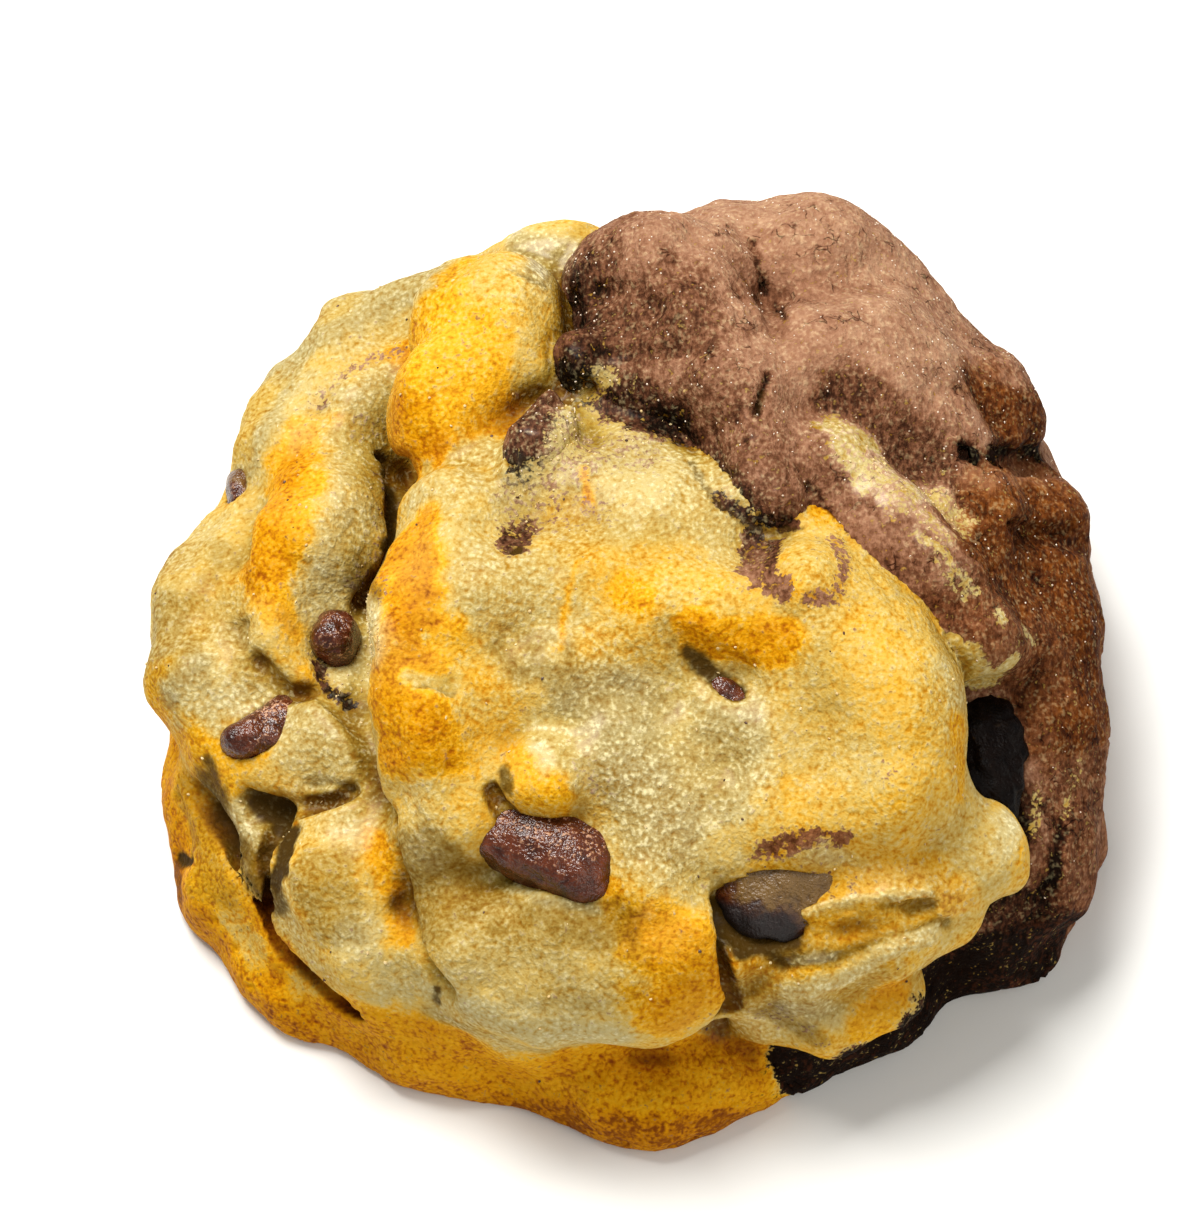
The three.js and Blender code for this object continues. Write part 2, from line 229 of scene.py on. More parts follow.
@dataclass(frozen=True)
class Joined:
    """Several shapes run together.

    Attributes:
        width: Over how many millimetres they run together.
        shapes: The shapes.
    """

    width: float
    shapes: Sequence[Distance]

    def __call__(self, points: Points) -> Numbers:
        """The distance of each point from the shapes' softened union."""
        total = self.shapes[0](points)
        for shape in self.shapes[1:]:
            total = soften(total, shape(points), self.width)
        return total


@dataclass(frozen=True)
class Waves:
    """Slow unevenness, so that no fold is quite round.

    Attributes:
        height: How far the waves move the skin where they add up.
        runs: How fast each wave runs along X, Y and Z, and where it starts.
    """

    height: float = 0.35
    runs: Sequence[tuple[Place, float]] = (
        ((0.55, 0.31, 0.2), 0.0),
        ((-0.36, 0.62, 0.25), 1.3),
        ((0.2, -0.28, 0.71), 2.1),
    )

    def __call__(self, points: Points) -> Numbers:
        """How far in the skin moves at each point."""
        total = sum(np.sin(points @ np.array(run) + phase) for run, phase in self.runs)
        return self.height / len(self.runs) * total


@dataclass(frozen=True)
class Drift:
    """Pushes shapes aside a little, this way here and that way there, so that no fold runs true.

    Attributes:
        swings: Millimetres of each swing, and the wave that it follows.
        step: How much later each swing's wave starts than the one before.
        lags: How much later the wave comes along X, Y and Z.
    """

    swings: Sequence[tuple[float, Place]] = (
        (0.30, (0.43, 0.17, 0.35)), (0.28, (-0.21, 0.52, 0.29)), (0.12, (0.85, -0.52, 0.48)),
        (0.10, (0.48, 0.96, -0.61)),
    )
    step: float = 1.7
    lags: Place = (0.0, 2.2, 4.1)

    def __call__(self, points: Points) -> Points:
        """The points from which a shape is read instead."""
        moved = points.copy()
        for number, (size, wave) in enumerate(self.swings):
            turns = points @ np.array(wave) + self.step * number
            moved += size * np.stack([np.sin(turns + lag) for lag in self.lags], axis=1)
        return moved


@dataclass(frozen=True)
class Drop:
    """A chip of chocolate, softened in the oven: an ellipsoid bent along its length.

    Attributes:
        size: Length, width and depth.
        place: Its middle.
        turn: Degrees about X, then Y, then Z.
        bend: How far its ends turn aside.
        bluntness: 1 for a true ellipsoid, less for a blunter one.
    """

    size: Place
    place: Place
    turn: Place = (0.0, 0.0, 0.0)
    bend: float = 0.0
    bluntness: float = 0.8

    @property
    def matrix(self) -> np.ndarray:
        """The turn as a matrix."""
        return np.array(Euler([math.radians(a) for a in self.turn], "XYZ").to_matrix())

    def __call__(self, points: Points) -> Numbers:
        """The distance of each point from the chip, less than zero inside."""
        local = (points - self.place) @ self.matrix
        half = np.array(self.size) / 2.0
        local[:, 1] -= self.bend * np.clip(local[:, 0] / half[0], -1.5, 1.5) ** 2
        scaled = np.linalg.norm(local / half, axis=1)
        slope = np.linalg.norm(local / half**2, axis=1)
        return scaled * (scaled - 1.0) / np.maximum(slope, 1e-6)

    def shaped(self, directions: Points) -> Points:
        """Points of a unit sphere carried onto the chip."""
        half = np.array(self.size) / 2.0
        local = np.sign(directions) * np.abs(directions) ** self.bluntness * half
        local[:, 1] += self.bend * directions[:, 0] ** 2
        return local @ self.matrix.T + self.place


# -------------------- skins


@dataclass
class Skin:
    """A closed mesh of quads with numbers at its vertices.

    Attributes:
        points: The vertices.
        quads: Four vertices to a face, turning outwards.
        normals: The outward direction at each vertex.
        coats: Numbers at each vertex, which the finish reads.
    """

    points: Points
    quads: np.ndarray
    normals: Points = field(default_factory=lambda: np.zeros((0, 3)))
    coats: dict[Coat, Numbers] = field(default_factory=dict)

    def spread(self, values: np.ndarray, rounds: int, share: float = 1.0) -> np.ndarray:
        """Values blurred over the mesh.

        Args:
            values: A row for each vertex.
            rounds: How many times each vertex takes its neighbours' mean.
            share: How much of the mean it takes.

        Returns:
            The blurred rows.
        """
        start = self.quads.ravel()
        end = np.roll(self.quads, -1, axis=1).ravel()
        count = np.bincount(start, minlength=len(self.points)) + np.bincount(end, minlength=len(self.points))
        rows = values.reshape(len(values), -1).astype(float)
        for _ in range(rounds):
            mean = np.empty_like(rows)
            for column in range(rows.shape[1]):
                sums = np.bincount(start, rows[end, column], len(rows))
                sums += np.bincount(end, rows[start, column], len(rows))
                mean[:, column] = sums / count
            rows = rows + share * (mean - rows)
        return rows.reshape(values.shape)

    def bulge(self, rounds: int) -> Numbers:
        """How far each vertex stands proud of its blurred surroundings, in millimetres."""
        return np.sum((self.points - self.spread(self.points, rounds)) * self.normals, axis=1)


@dataclass(frozen=True)
class Skinner:
    """Meshes a distance function on a grid of cells, one vertex to a cell.

    Attributes:
        cell: Side of a cell.
        coarse: How many cells apart the first look at the distances is.
        low: Lowest corner of the grid.
        high: Highest corner of the grid.
        band: How near the first look's skin the distances are worked out in full.
    """

    cell: float
    coarse: int = 4
    low: Place = (-48.0, -47.0, -4.0)
    high: Place = (48.0, 47.0, 44.0)
    band: float = 1.9

    def grid(self) -> tuple[int, int, int]:
        """Corners along each side, one more than a whole number of coarse steps."""
        step = self.cell * self.coarse
        counts = [math.ceil((h - l) / step) * self.coarse + 1 for l, h in zip(self.low, self.high)]
        return (counts[0], counts[1], counts[2])

    def corners(self, indices: np.ndarray) -> Points:
        """The places of grid corners."""
        return indices * self.cell + np.array(self.low)

    def distances(self, distance: Distance) -> np.ndarray:
        """The distance at every corner, read in full near the skin, roughly elsewhere."""
        shape = self.grid()
        starts = [np.arange(0, n, self.coarse) for n in shape]
        rough = distance(self.corners(np.stack(np.meshgrid(*starts, indexing="ij"), -1).reshape(-1, 3)))
        values = rough.reshape([len(s) for s in starts])
        for axis, n in enumerate(shape):
            spot = np.arange(n) / self.coarse
            below = np.minimum(spot.astype(int), values.shape[axis] - 2)
            part = (spot - below).reshape([-1 if a == axis else 1 for a in range(3)])
            values = np.take(values, below, axis) * (1 - part) + np.take(values, below + 1, axis) * part
        near = np.argwhere(np.abs(values) < self.band)
        values[tuple(near.T)] = distance(self.corners(near))
        return values

    def skin(self, distance: Distance) -> Skin:
        """The skin at distance 0.

        Args:
            distance: Less than zero inside the solid.

        Returns:
            A closed mesh, evened out and drawn back onto the true skin.
        """
        values = self.distances(distance)
        inside = values < 0
        shape = np.array(values.shape)
        edges, places, flips = [], [], []
        for axis in range(3):
            ahead = np.roll(inside, -1, axis)
            last = [slice(None)] * 3
            last[axis] = -1
            crossed = inside != ahead
            crossed[tuple(last)] = False
            start = np.argwhere(crossed)
            step = np.eye(3, dtype=int)[axis]
            a = values[tuple(start.T)]
            b = values[tuple((start + step).T)]
            places.append(self.corners(start + step * (a / (a - b))[:, None]))
            u, v = np.eye(3, dtype=int)[(axis + 1) % 3], np.eye(3, dtype=int)[(axis + 2) % 3]
            ring = np.stack([start, start - u, start - u - v, start - v], axis=1)
            edges.append(np.ravel_multi_index(tuple(ring.reshape(-1, 3).T), tuple(shape)).reshape(-1, 4))
            flips.append(a >= 0)
        rings, spots, flip = np.concatenate(edges), np.concatenate(places), np.concatenate(flips)
        cells, quads = np.unique(rings, return_inverse=True)
        quads = quads.reshape(-1, 4)
        count = np.bincount(quads.ravel(), minlength=len(cells))
        points = np.stack(
            [np.bincount(quads.ravel(), np.repeat(spots[:, a], 4), len(cells)) / count for a in range(3)],
            axis=1,
        )
        quads[flip] = quads[flip][:, ::-1]
        made = Skin(points, quads)
        made.points = made.spread(made.points, rounds=2, share=0.5)
        made.normals = slopes(distance, made.points)
        made.points = made.points - made.normals * distance(made.points)[:, None]
        made.normals = slopes(distance, made.points)
        return made


def slopes(distance: Distance, points: Points, reach: float = 0.15) -> Points:
    """The direction in which a distance grows fastest at each point."""
    steps = np.eye(3) * reach
    rises = np.stack([distance(points + s) - distance(points - s) for s in steps], axis=1)
    return rises / np.maximum(np.linalg.norm(rises, axis=1), 1e-9)[:, None]


# -------------------- the photographer's view


@dataclass(frozen=True)
class View:
    """Where the cookie is seen from, and the way from a pixel of that view to the skin.

    Attributes:
        target: The point at the middle of the picture.
        elevation: Degrees above the horizon.
        distance: From the camera to the target.
        width, height: Pixels of the picture.
        pixel: Millimetres across a pixel at the target.
    """

    target: Place = (-2.8, 5.0, 15.0)
    elevation: float = 60.0
    distance: float = 420.0
    width: float = 1200.0
    height: float = 1216.0
    pixel: float = 0.0932

    @property
    def ahead(self) -> np.ndarray:
        """The direction of sight."""
        tilt = math.radians(self.elevation)
        return np.array([0.0, math.cos(tilt), -math.sin(tilt)])

    @property
    def above(self) -> np.ndarray:
        """The picture's upward direction."""
        tilt = math.radians(self.elevation)
        return np.array([0.0, math.sin(tilt), math.cos(tilt)])

    @property
    def eye(self) -> np.ndarray:
        """The camera's place."""
        return np.array(self.target) - self.ahead * self.distance

    def ray(self, spot: Pixel) -> np.ndarray:
        """The direction in which a pixel looks."""
        across = (spot[0] - self.width / 2) * self.pixel
        up = (self.height / 2 - spot[1]) * self.pixel
        way = self.ahead * self.distance + np.array([across, 0.0, 0.0]) + self.above * up
        return way / np.linalg.norm(way)

    def camera(self, shift: np.ndarray) -> bpy.types.Object:
        """The camera itself, moved with the cookie."""
        lens = bpy.data.cameras.new("camera")
        lens.sensor_fit = "VERTICAL"
        lens.sensor_height = 36.0
        lens.lens = lens.sensor_height * self.distance / (self.height * self.pixel)
        lens.clip_start = 0.01
        lens.clip_end = 10.0
        held = bpy.data.objects.new("camera", lens)
        bpy.context.scene.collection.objects.link(held)
        held.location = Vector((self.eye + shift) * MM)
        held.rotation_euler = Euler((math.radians(90.0 - self.elevation), 0.0, 0.0))
        bpy.context.scene.camera = held
        return held


class Coat(Enum):
    """What covers the skin, laid by a brush stroke or worked out from its form."""

    BROWN = "brown"  # how far the pale crust is baked, from cream at 0 to dark orange at 1
    GREASE = "grease"  # butter at the surface: greyer, glossier, and brighter grain tops as painted highlight
    COCOA = "cocoa"  # cocoa dough, or its smear
    PAINTED_SHADE = "umber"  # painted shade: darker olive brown in hollows, creases, gaps and under folds
    DARK = "dark"  # how dark the cocoa dough is: its moist near black parts, and painted light and shade, lighter on the top at the back and darker on the right side, in its creases and on its lower right foot
    CARAMEL = "caramel"  # cocoa crust browned to gold, and the warm painted shade on its right side
    HEIGHT = "height"  # relief in millimetres
    BLOOM = "bloom"  # pale specks on chocolate
    FILM = "film"  # a thin skin of dough over chocolate
    SUGAR = "sugar"  # how thickly crystals lie
    CRUMBS = "crumbs"  # how thickly pale crumbs lie
    FLECKS = "flecks"  # how thickly bits of cocoa lie
    FOOT = "foot"  # the browned foot, which no stroke lays
    HOLLOW = "hollow"  # how sheltered a place is, which the finish paints as shade
    BROAD = "broad"  # slow unevenness of the finish
    COARSE = "coarse"  # quicker unevenness of the finish


@dataclass(frozen=True)
class Stroke:
    """One stroke of a brush along the skin, aimed through pixels of the view.

    Attributes:
        path: The pixels that it passes.
        radius: Half its width in millimetres.
        levels: The value that it brings each of its coats to.
        opacity: How far it covers what is there.
        ragged: How uneven its edge is, as a share of the radius.
    """

    path: Sequence[Pixel]
    radius: float
    levels: Mapping[Coat, float]
    opacity: float = 1.0
    ragged: float = 0.55


def lay(path: Sequence[Pixel], radius: float, opacity: float = 1.0, **levels: float) -> Stroke:
    """A stroke whose coats are given by their names."""
    return Stroke(path, radius, {Coat(name): level for name, level in levels.items()}, opacity)


class Painter:
    """Lays strokes on skins."""

    SPACING = 14.0  # pixels between the points of a stroke
    FULL, NONE = 0.45, 1.2  # shares of the radius at which a stroke starts to fade and has gone
    FRAY = 1.5  # millimetres of the finer fraying of its edge

    def __init__(self, view: View, skins: Sequence[Skin]) -> None:
        """Takes the skins that strokes land on."""
        self.view = view
        starts = np.cumsum([0] + [len(s.points) for s in skins])
        corners = np.concatenate([s.points for s in skins])
        faces = [face for s, start in zip(skins, starts) for face in (s.quads + start).tolist()]
        self.target = BVHTree.FromPolygons(corners.tolist(), faces)

    def landing(self, spot: Pixel) -> np.ndarray | None:
        """Where a pixel's ray meets the skin."""
        found = self.target.ray_cast(Vector(self.view.eye), Vector(self.view.ray(spot)))[0]
        return None if found is None else np.array(found)

    def route(self, path: Sequence[Pixel]) -> Points:
        """The points of a stroke on the skin, closely spaced."""
        spots = [np.array(path[0], float)]
        for a, b in zip(path, path[1:]):
            start, end = np.array(a, float), np.array(b, float)
            parts = max(1, round(float(np.linalg.norm(end - start)) / self.SPACING))
            spots += [start + (end - start) * n / parts for n in range(1, parts + 1)]
        landed = [self.landing((float(s[0]), float(s[1]))) for s in spots]
        return np.array([p for p in landed if p is not None]).reshape(-1, 3)

    def cover(self, stroke: Stroke, points: Points) -> Numbers:
        """How much of a stroke reaches each point, from 0 to 1."""
        result = np.zeros(len(points))
        route = self.route(stroke.path)
        if not len(route):
            return result
        reach = stroke.radius * (1.0 + stroke.ragged)
        box = np.all((points > route.min(0) - reach) & (points < route.max(0) + reach), axis=1)
        here = points[box]
        away = np.full(len(here), np.inf)
        for a, b in zip(route, route[1:] if len(route) > 1 else route):
            along = b - a
            t = np.clip((here - a) @ along / max(along @ along, 1e-9), 0.0, 1.0)
            away = np.minimum(away, np.linalg.norm(here - a - t[:, None] * along, axis=1))
        edge = noise(here, self.FRAY, 41) * 0.6 + noise(here, 0.9 + stroke.radius / 2, 43)
        far = away / stroke.radius * (1.0 + stroke.ragged * edge)
        result[box] = 1.0 - smoothstep(self.FULL, self.NONE, far)
        return result

    def paint(self, skin: Skin, strokes: Sequence[Stroke]) -> None:
        """Lays strokes on a skin in their order."""
        for stroke in strokes:
            cover = stroke.opacity * self.cover(stroke, skin.points)
            for coat, level in stroke.levels.items():
                values = skin.coats.setdefault(coat, np.zeros(len(skin.points)))
                values += cover * (level if coat is Coat.HEIGHT else level - values)


# -------------------- the two doughs


@dataclass(frozen=True)
class Dough:
    """One of the two doughs: folds over a core, parted by creases.

    Attributes:
        folds: The folds that show.
        core: The mass under them.
        creases: Grooves between folds, and cracks.
        blends: Widths over which folds join, sink into the core and round a crease's lips.
    """

    folds: Mapping[str, Distance]
    core: Mound
    creases: Mapping[str, Sequence[Ball]]
    waves: Waves = field(default_factory=Waves)
    blends: Place = (1.2, 1.5, 1.2)

    def __call__(self, points: Points) -> Numbers:
        """The distance of each point from the dough, less than zero inside."""
        fold_blend, core_blend, lip_blend = self.blends
        heap = Joined(fold_blend, list(self.folds.values()))(points)
        heap = soften(heap, self.core(points), core_blend) + self.waves(points)
        grooves = Joined(lip_blend, [Roll(spine) for spine in self.creases.values()])(points)
        return -soften(-heap, grooves, lip_blend)


def pale_dough() -> Dough:
    """The chocolate-chip dough, on the left and in front."""
    foot = (
        (-14, 33.5, 3, 7), (-26, 28, 3, 7), (-32.5, 17, 3, 7), (-36, 5, 3, 7), (-37, -8, 1.5, 7),
        (-35.5, -17, 1, 7), (-29.5, -24.5, 1, 7), (-20, -30.2, 1, 7), (-11, -32, 1, 7),
        (-3, -34.7, 1, 7.3), (2.5, -36.5, 1, 7.2), (8, -33.7, 1, 6.8),
    )
    rim = (
        (-34.5, 17, 15, 4.2), (-32.4, 22.3, 16, 4.6), (-30.2, 27.2, 17, 4.8), (-25.8, 32, 17.5, 5),
        (-21, 33.8, 18.5, 5), (-16.2, 34.3, 20, 5),
    )
    left_cheek = (
        (-36, 11.2, 15, 4.1), (-38.9, 4, 16, 5.5), (-39, -3, 15.5, 5.7), (-37, -7.5, 14.5, 5.2),
        (-32.5, -10.5, 14, 4.4),
    )
    cliff = (
        (-15.5, 5, 30, 5.6), (-16, -1.5, 30.5, 6.2), (-17.5, -7.5, 30, 6.2), (-18, -12.5, 29, 5.6),
        (-17.5, -16.5, 27, 5.4), (-15.5, -21, 23, 5.4), (-16, -25, 18, 5),
    )
    middle_ridge = (
        (-10, -4, 31, 5), (-3.5, -3.5, 32, 5), (3.5, -4.5, 32, 5), (10, -7, 32, 5), (16, -8.5, 32, 5),
    )
    right_shoulder = ((17.5, -4, 30.4, 6), (21.6, -9.5, 29.6, 7), (22.8, -15, 27.9, 7.4), (22, -19.5, 25, 7))
    folds = {
        "foot": Roll(foot, rise=1.05),
        "rim": Roll(rim),
        "rim_slope": Roll(((-30, 18.5, 15.5, 6.6), (-26, 23.5, 16.5, 7), (-20, 28, 17.5, 7))),
        "back_crown": Roll(((-10, 34.6, 25, 4.8), (-5, 35.6, 26, 4.6), (-7, 30, 21, 7))),
        "crest": Roll(((-13, 26, 30, 7.6), (-12.8, 20.6, 30.2, 6.3), (-16.8, 16.8, 30, 6))),
        "left_ridge": Roll((
            (-29.5, 18.5, 19, 3.8), (-29, 12, 21.8, 4.6),
            (-29.6, 6, 22.4, 4.8), (-32, 1.5, 20.5, 4.2),
        )),
        "left_ridge_flank": Roll(((-26, 15, 18.5, 5), (-25.2, 8, 18.8, 5.4), (-27, 2, 17.5, 5))),
        "cheek_slope": Roll(((-34.5, 10, 13.8, 6.4), (-35.5, 3, 14, 6.6), (-34.5, -3.5, 14, 6.4))),
        "left_cheek": Roll(left_cheek),
        "leaf": Roll(((-33, -3, 20, 2), (-30.5, -5.5, 20, 2.2), (-28, -8, 19, 2))),
        "apron": Roll(((-30, -11, 16.5, 5), (-25.5, -10.5, 17, 5.2))),
        "tongue": Roll((
            (-26.5, -18.5, 15.5, 5), (-26, -23.5, 14.5, 5.8),
            (-23, -28, 13, 5.4), (-19.5, -30.5, 12, 3.4),
        )),
        "front_fold": Joined(3.0, [
            Roll(((-12.5, -30.5, 15.5, 7.4), (-7, -31.5, 16, 8), (-0.5, -31, 16, 8))),
            Roll(((0.5, -29, 23, 3.8), (3.5, -32, 20, 5.4), (4.5, -33.5, 17, 5))),
        ]),
        "plateau": Joined(4.0, [
            Roll(cliff),
            Roll(((-6.5, 7, 30, 6), (2.5, 4.5, 30.5, 6))),
            Roll(((-9, 10.5, 28, 5.4), (-3.5, 15.5, 27, 5.6), (2.2, 10.5, 27.6, 6), (8, 3, 28.4, 6))),
            Roll(((-10.5, -11, 27, 6), (-9, -16.5, 25.4, 6))),
            Roll(((9.5, 4.5, 29.4, 5.6), (14.2, 3, 29.4, 5.2))),
            Roll(middle_ridge),
            Roll(right_shoulder),
            Roll(((-2, -8, 23, 11), (0, -19, 19, 11))),
            Roll(((13, -8, 23, 11), (12, -18, 20, 11))),
        ]),
        "bead": Roll(((-8.2, -19, 30.2, 1.9), (-7.9, -21.4, 29.4, 2.3))),
        "blob": Mound((15, -4.5, 36.2), (2.9, 2.5, 2.3)),
        "right_tongue": Roll(((24, -21.5, 21, 6), (30, -22.5, 19.5, 5))),
        "strand_upper": Roll((
            (9, -32.5, 17, 2.6), (14, -30.5, 19.5, 3.4),
            (19.5, -28.5, 20.8, 3.6), (26.5, -27.5, 20, 3.2),
        )),
        "strand_lower": Roll((
            (10, -33.5, 14, 2.4), (16, -33.5, 16.5, 3),
            (22, -31.5, 17.5, 3.2), (28.5, -28.5, 17, 2.6),
        )),
        "lip": Roll(((12.5, -34, 10, 3.6), (17, -33.5, 11, 4.4), (22.5, -32, 11, 4))),
    }
    creases = {
        "under_folds": (
            (-40, -12.5, 11.5, 1.1), (-36, -17.5, 12, 1.4), (-33.5, -22, 11, 1.3), (-31, -28, 9.5, 1.1),
            (-26.5, -31.5, 8.5, 1.3), (-22, -32.5, 8.5, 1.3), (-17.5, -33, 10, 1.7), (-14, -35, 8.5, 1.3),
            (-8.5, -36, 8, 1.0), (-3, -36.4, 8, 0.6),
        ),
        "cheek_tongue": (
            (-34.4, -16.4, 16.4, 1.2), (-32.2, -17.6, 17, 1.8),
            (-30.4, -18, 18.4, 1.0), (-25, -17, 20.5, 0.7),
        ),
        "tongue_side": ((-31.8, -18.4, 16.4, 1.3), (-32.4, -20.8, 14.6, 1.4), (-32, -23.6, 12.4, 0.9)),
        "tongue_front": ((-20.5, -24, 22, 0.8), (-20.5, -27.5, 19, 0.9), (-17, -35.5, 18, 1.2)),
        "crest_end": (
            (-23.5, 17, 21, 0.8), (-20.5, 17, 18, 0.8),
            (-20.5, 10, 33, 0.5), (-17.5, 9.5, 35.8, 0.4),
        ),
        "valley": ((-21.5, 15.5, 20, 1.5), (-22, 5, 22, 1.6), (-24, 2, 21.5, 1.4), (-24, -9.5, 22, 1.2)),
        "cliff_foot": ((-24, -9.5, 22, 1.2), (-22.5, -17, 22, 1.1), (-20.5, -22, 24, 0.9)),
        "rim_line": ((-22, 29, 25.2, 0.5), (-26, 26.5, 24.3, 0.5), (-29.5, 22.5, 23, 0.5)),
        "slot": (
            (3.6, -10, 35.6, 1.4), (6.4, -12.2, 34.8, 2.1),
            (9.4, -14, 34, 2.2), (12.2, -15.8, 33.6, 1.3),
        ),
        "pocket": ((8.6, -31, 22, 1.2), (11.2, -31.8, 21.4, 1.5), (14.2, -31.6, 21.4, 1)),
        "cliff_crack": ((-18, -13.5, 34.5, 0.5), (-15.5, -14, 33.5, 0.6)),
        "bead_edge": ((-11.8, -21.6, 28.4, 0.5), (-10.8, -23, 27.2, 0.7)),
        "front_neck": ((8, -36, 16, 1.2), (7, -33, 22, 1), (7.5, -29, 23, 1)),
        "strand_gap": (
            (10, -35, 18, 0.7), (14.5, -33.5, 21.5, 0.8),
            (20, -31.5, 22.5, 0.8), (26, -30, 22, 0.6),
        ),
        "leaf_edge": (
            (-34, -4, 21.5, 0.7), (-31.5, -7, 21, 0.8),
            (-28, -7.5, 21.5, 0.7), (-23.5, -12, 21.5, 0.8),
        ),
    }
    return Dough(folds, Mound((-8, -5, 8), (34, 33, 15)), creases, blends=(2.8, 2.0, 1.2))


def cocoa_dough() -> Dough:
    """The cocoa dough, on the right and at the back."""
    foot = (
        (14.5, -30.8, 2, 6.8), (19.4, -28.6, 2, 6.4), (26, -23, 2, 6.6), (34.4, -19.2, 3, 7.4),
        (36.8, -12.5, 4, 7.2), (36.3, -2, 3, 7), (36.6, 8, 3, 7), (33, 18, 3, 7), (27, 27, 3, 7),
        (18, 34, 3, 7.5), (7, 33.5, 3, 7), (-3, 32, 3, 7),
    )
    folds = {
        "foot": Roll(foot, rise=1.7),
        "back": Joined(4.0, [
            Roll(((5.5, 34, 23.5, 8.4), (16, 33.5, 24, 10.2), (20, 31.7, 22, 10), (25.6, 27.1, 19, 8.8))),
            Mound((19, 20, 25), (13, 11, 11), 20),
            Roll(((14.5, 20, 31, 6), (22, 18, 29, 5.8), (27.5, 15, 27, 5.4), (31.5, 8.5, 25, 5.4))),
        ]),
        "cheek": Roll(((27, 26, 21, 6.8), (32.5, 22.5, 20.5, 6.6))),
        "hump": Joined(2.5, [
            Roll(((0.6, 31.8, 30, 6.6), (2.5, 30, 31.4, 7), (4.5, 29, 30.4, 8))),
            Roll(((2.5, 21.5, 30.5, 7), (9, 20, 28, 7))),
            Roll(((7.5, 21, 33.2, 6), (10.4, 14.2, 33.4, 5.7), (12.3, 5.9, 33.1, 4.2))),
            Roll(((14, 17, 29.5, 6.5), (17.5, 10, 28.5, 6.5))),
            Roll(((-5, 25, 24, 6), (-1, 22, 21, 9), (12, 16, 20, 13))),
        ]),
        "nub": Roll(((-4.5, 20.5, 33, 3), (-2.5, 20.5, 31, 3.4))),
        "tail": Roll(((-6.9, 13.9, 34.4, 2.6), (-8.6, 10.8, 34.8, 2.5), (-9.9, 7.8, 34.3, 1.9))),
        "strip": Roll(((18, 9.5, 32.6, 4), (22.5, 3.5, 31.6, 4.6), (26.6, -1.2, 30, 5), (29.6, -5, 28, 4.6))),
        "strip_slope": Roll(((22.5, 12.5, 25, 7), (27, 5, 23.5, 7.4), (31, -2, 20.5, 7.4))),
        "side_upper": Roll(((32, 14, 19.5, 7), (36.6, 12.5, 17.5, 6.4))),
        "side_lower": Roll((
            (35, 6.5, 16, 8.4), (34.6, -2.5, 15, 8.8),
            (35.5, -12, 12, 8.3), (34.4, -19, 9, 7.8),
        )),
    }
    creases = {
        "hump_side": ((9.5, 30.5, 37, 0.9), (12.5, 28, 33.5, 1), (13.5, 21, 37.5, 1)),
        "cheek_fold": ((30, 12, 30, 0.8), (33, 13.3, 27.2, 1.5), (36, 14.8, 24.8, 1.9), (39, 16.5, 21, 2.4)),
        "side_fold": ((30, 6.5, 28.5, 0.9), (35, 6.5, 26.5, 1.3), (39.5, 8, 23.5, 1.3), (42.5, 8.5, 21, 1.3)),
        "side_crack": ((39, -19, 17.5, 0.8), (37, -22, 16.5, 0.9), (36, -25, 14.5, 0.8)),
        "hump_crack": ((-3, 26.5, 34.5, 0.7), (-0.5, 26.5, 37, 0.6), (2, 24, 38, 0.5)),
        "left": ((-3.5, 17.5, 32.5, 0.8), (-6.5, 14.5, 36, 1)),
    }
    return Dough(folds, Mound((14, 11, 9), (30, 29, 18)), creases, blends=(2.0, 2.0, 1.2))


# -------------------- chocolate pieces


CHUNK = "chunk_dark"

CHIPS: dict[str, Drop] = {
    "chip_front": Drop((14.6, 7.8, 6.4), (-7.7, -24.7, 24.6), (6, 0, -28), bend=-0.8),
    "chip_right": Drop((13.2, 12.4, 5.6), (13.5, -26.2, 22.5), (24, 0, 12), bend=0.6),
    "chip_cheek": Drop((8.3, 4.4, 5), (-33.1, -10.3, 18.5), (0, 10, 40), bend=1.2),
    "chip_valley": Drop((4.2, 4.6, 5.4), (-27.0, -2.0, 21.3), (0, 0, -10), bluntness=0.7),
    "chip_slot": Drop((8, 3.2, 4.4), (9.4, -13.8, 29.9), (0, 14, -38)),
    "chip_rim": Drop((4, 6, 4.5), (-35.9, 15.8, 16.8)),
    CHUNK: Drop((8, 14, 11), (31.4, -13.4, 18.0), (0, 10, 0)),
}


# -------------------- the whole cookie


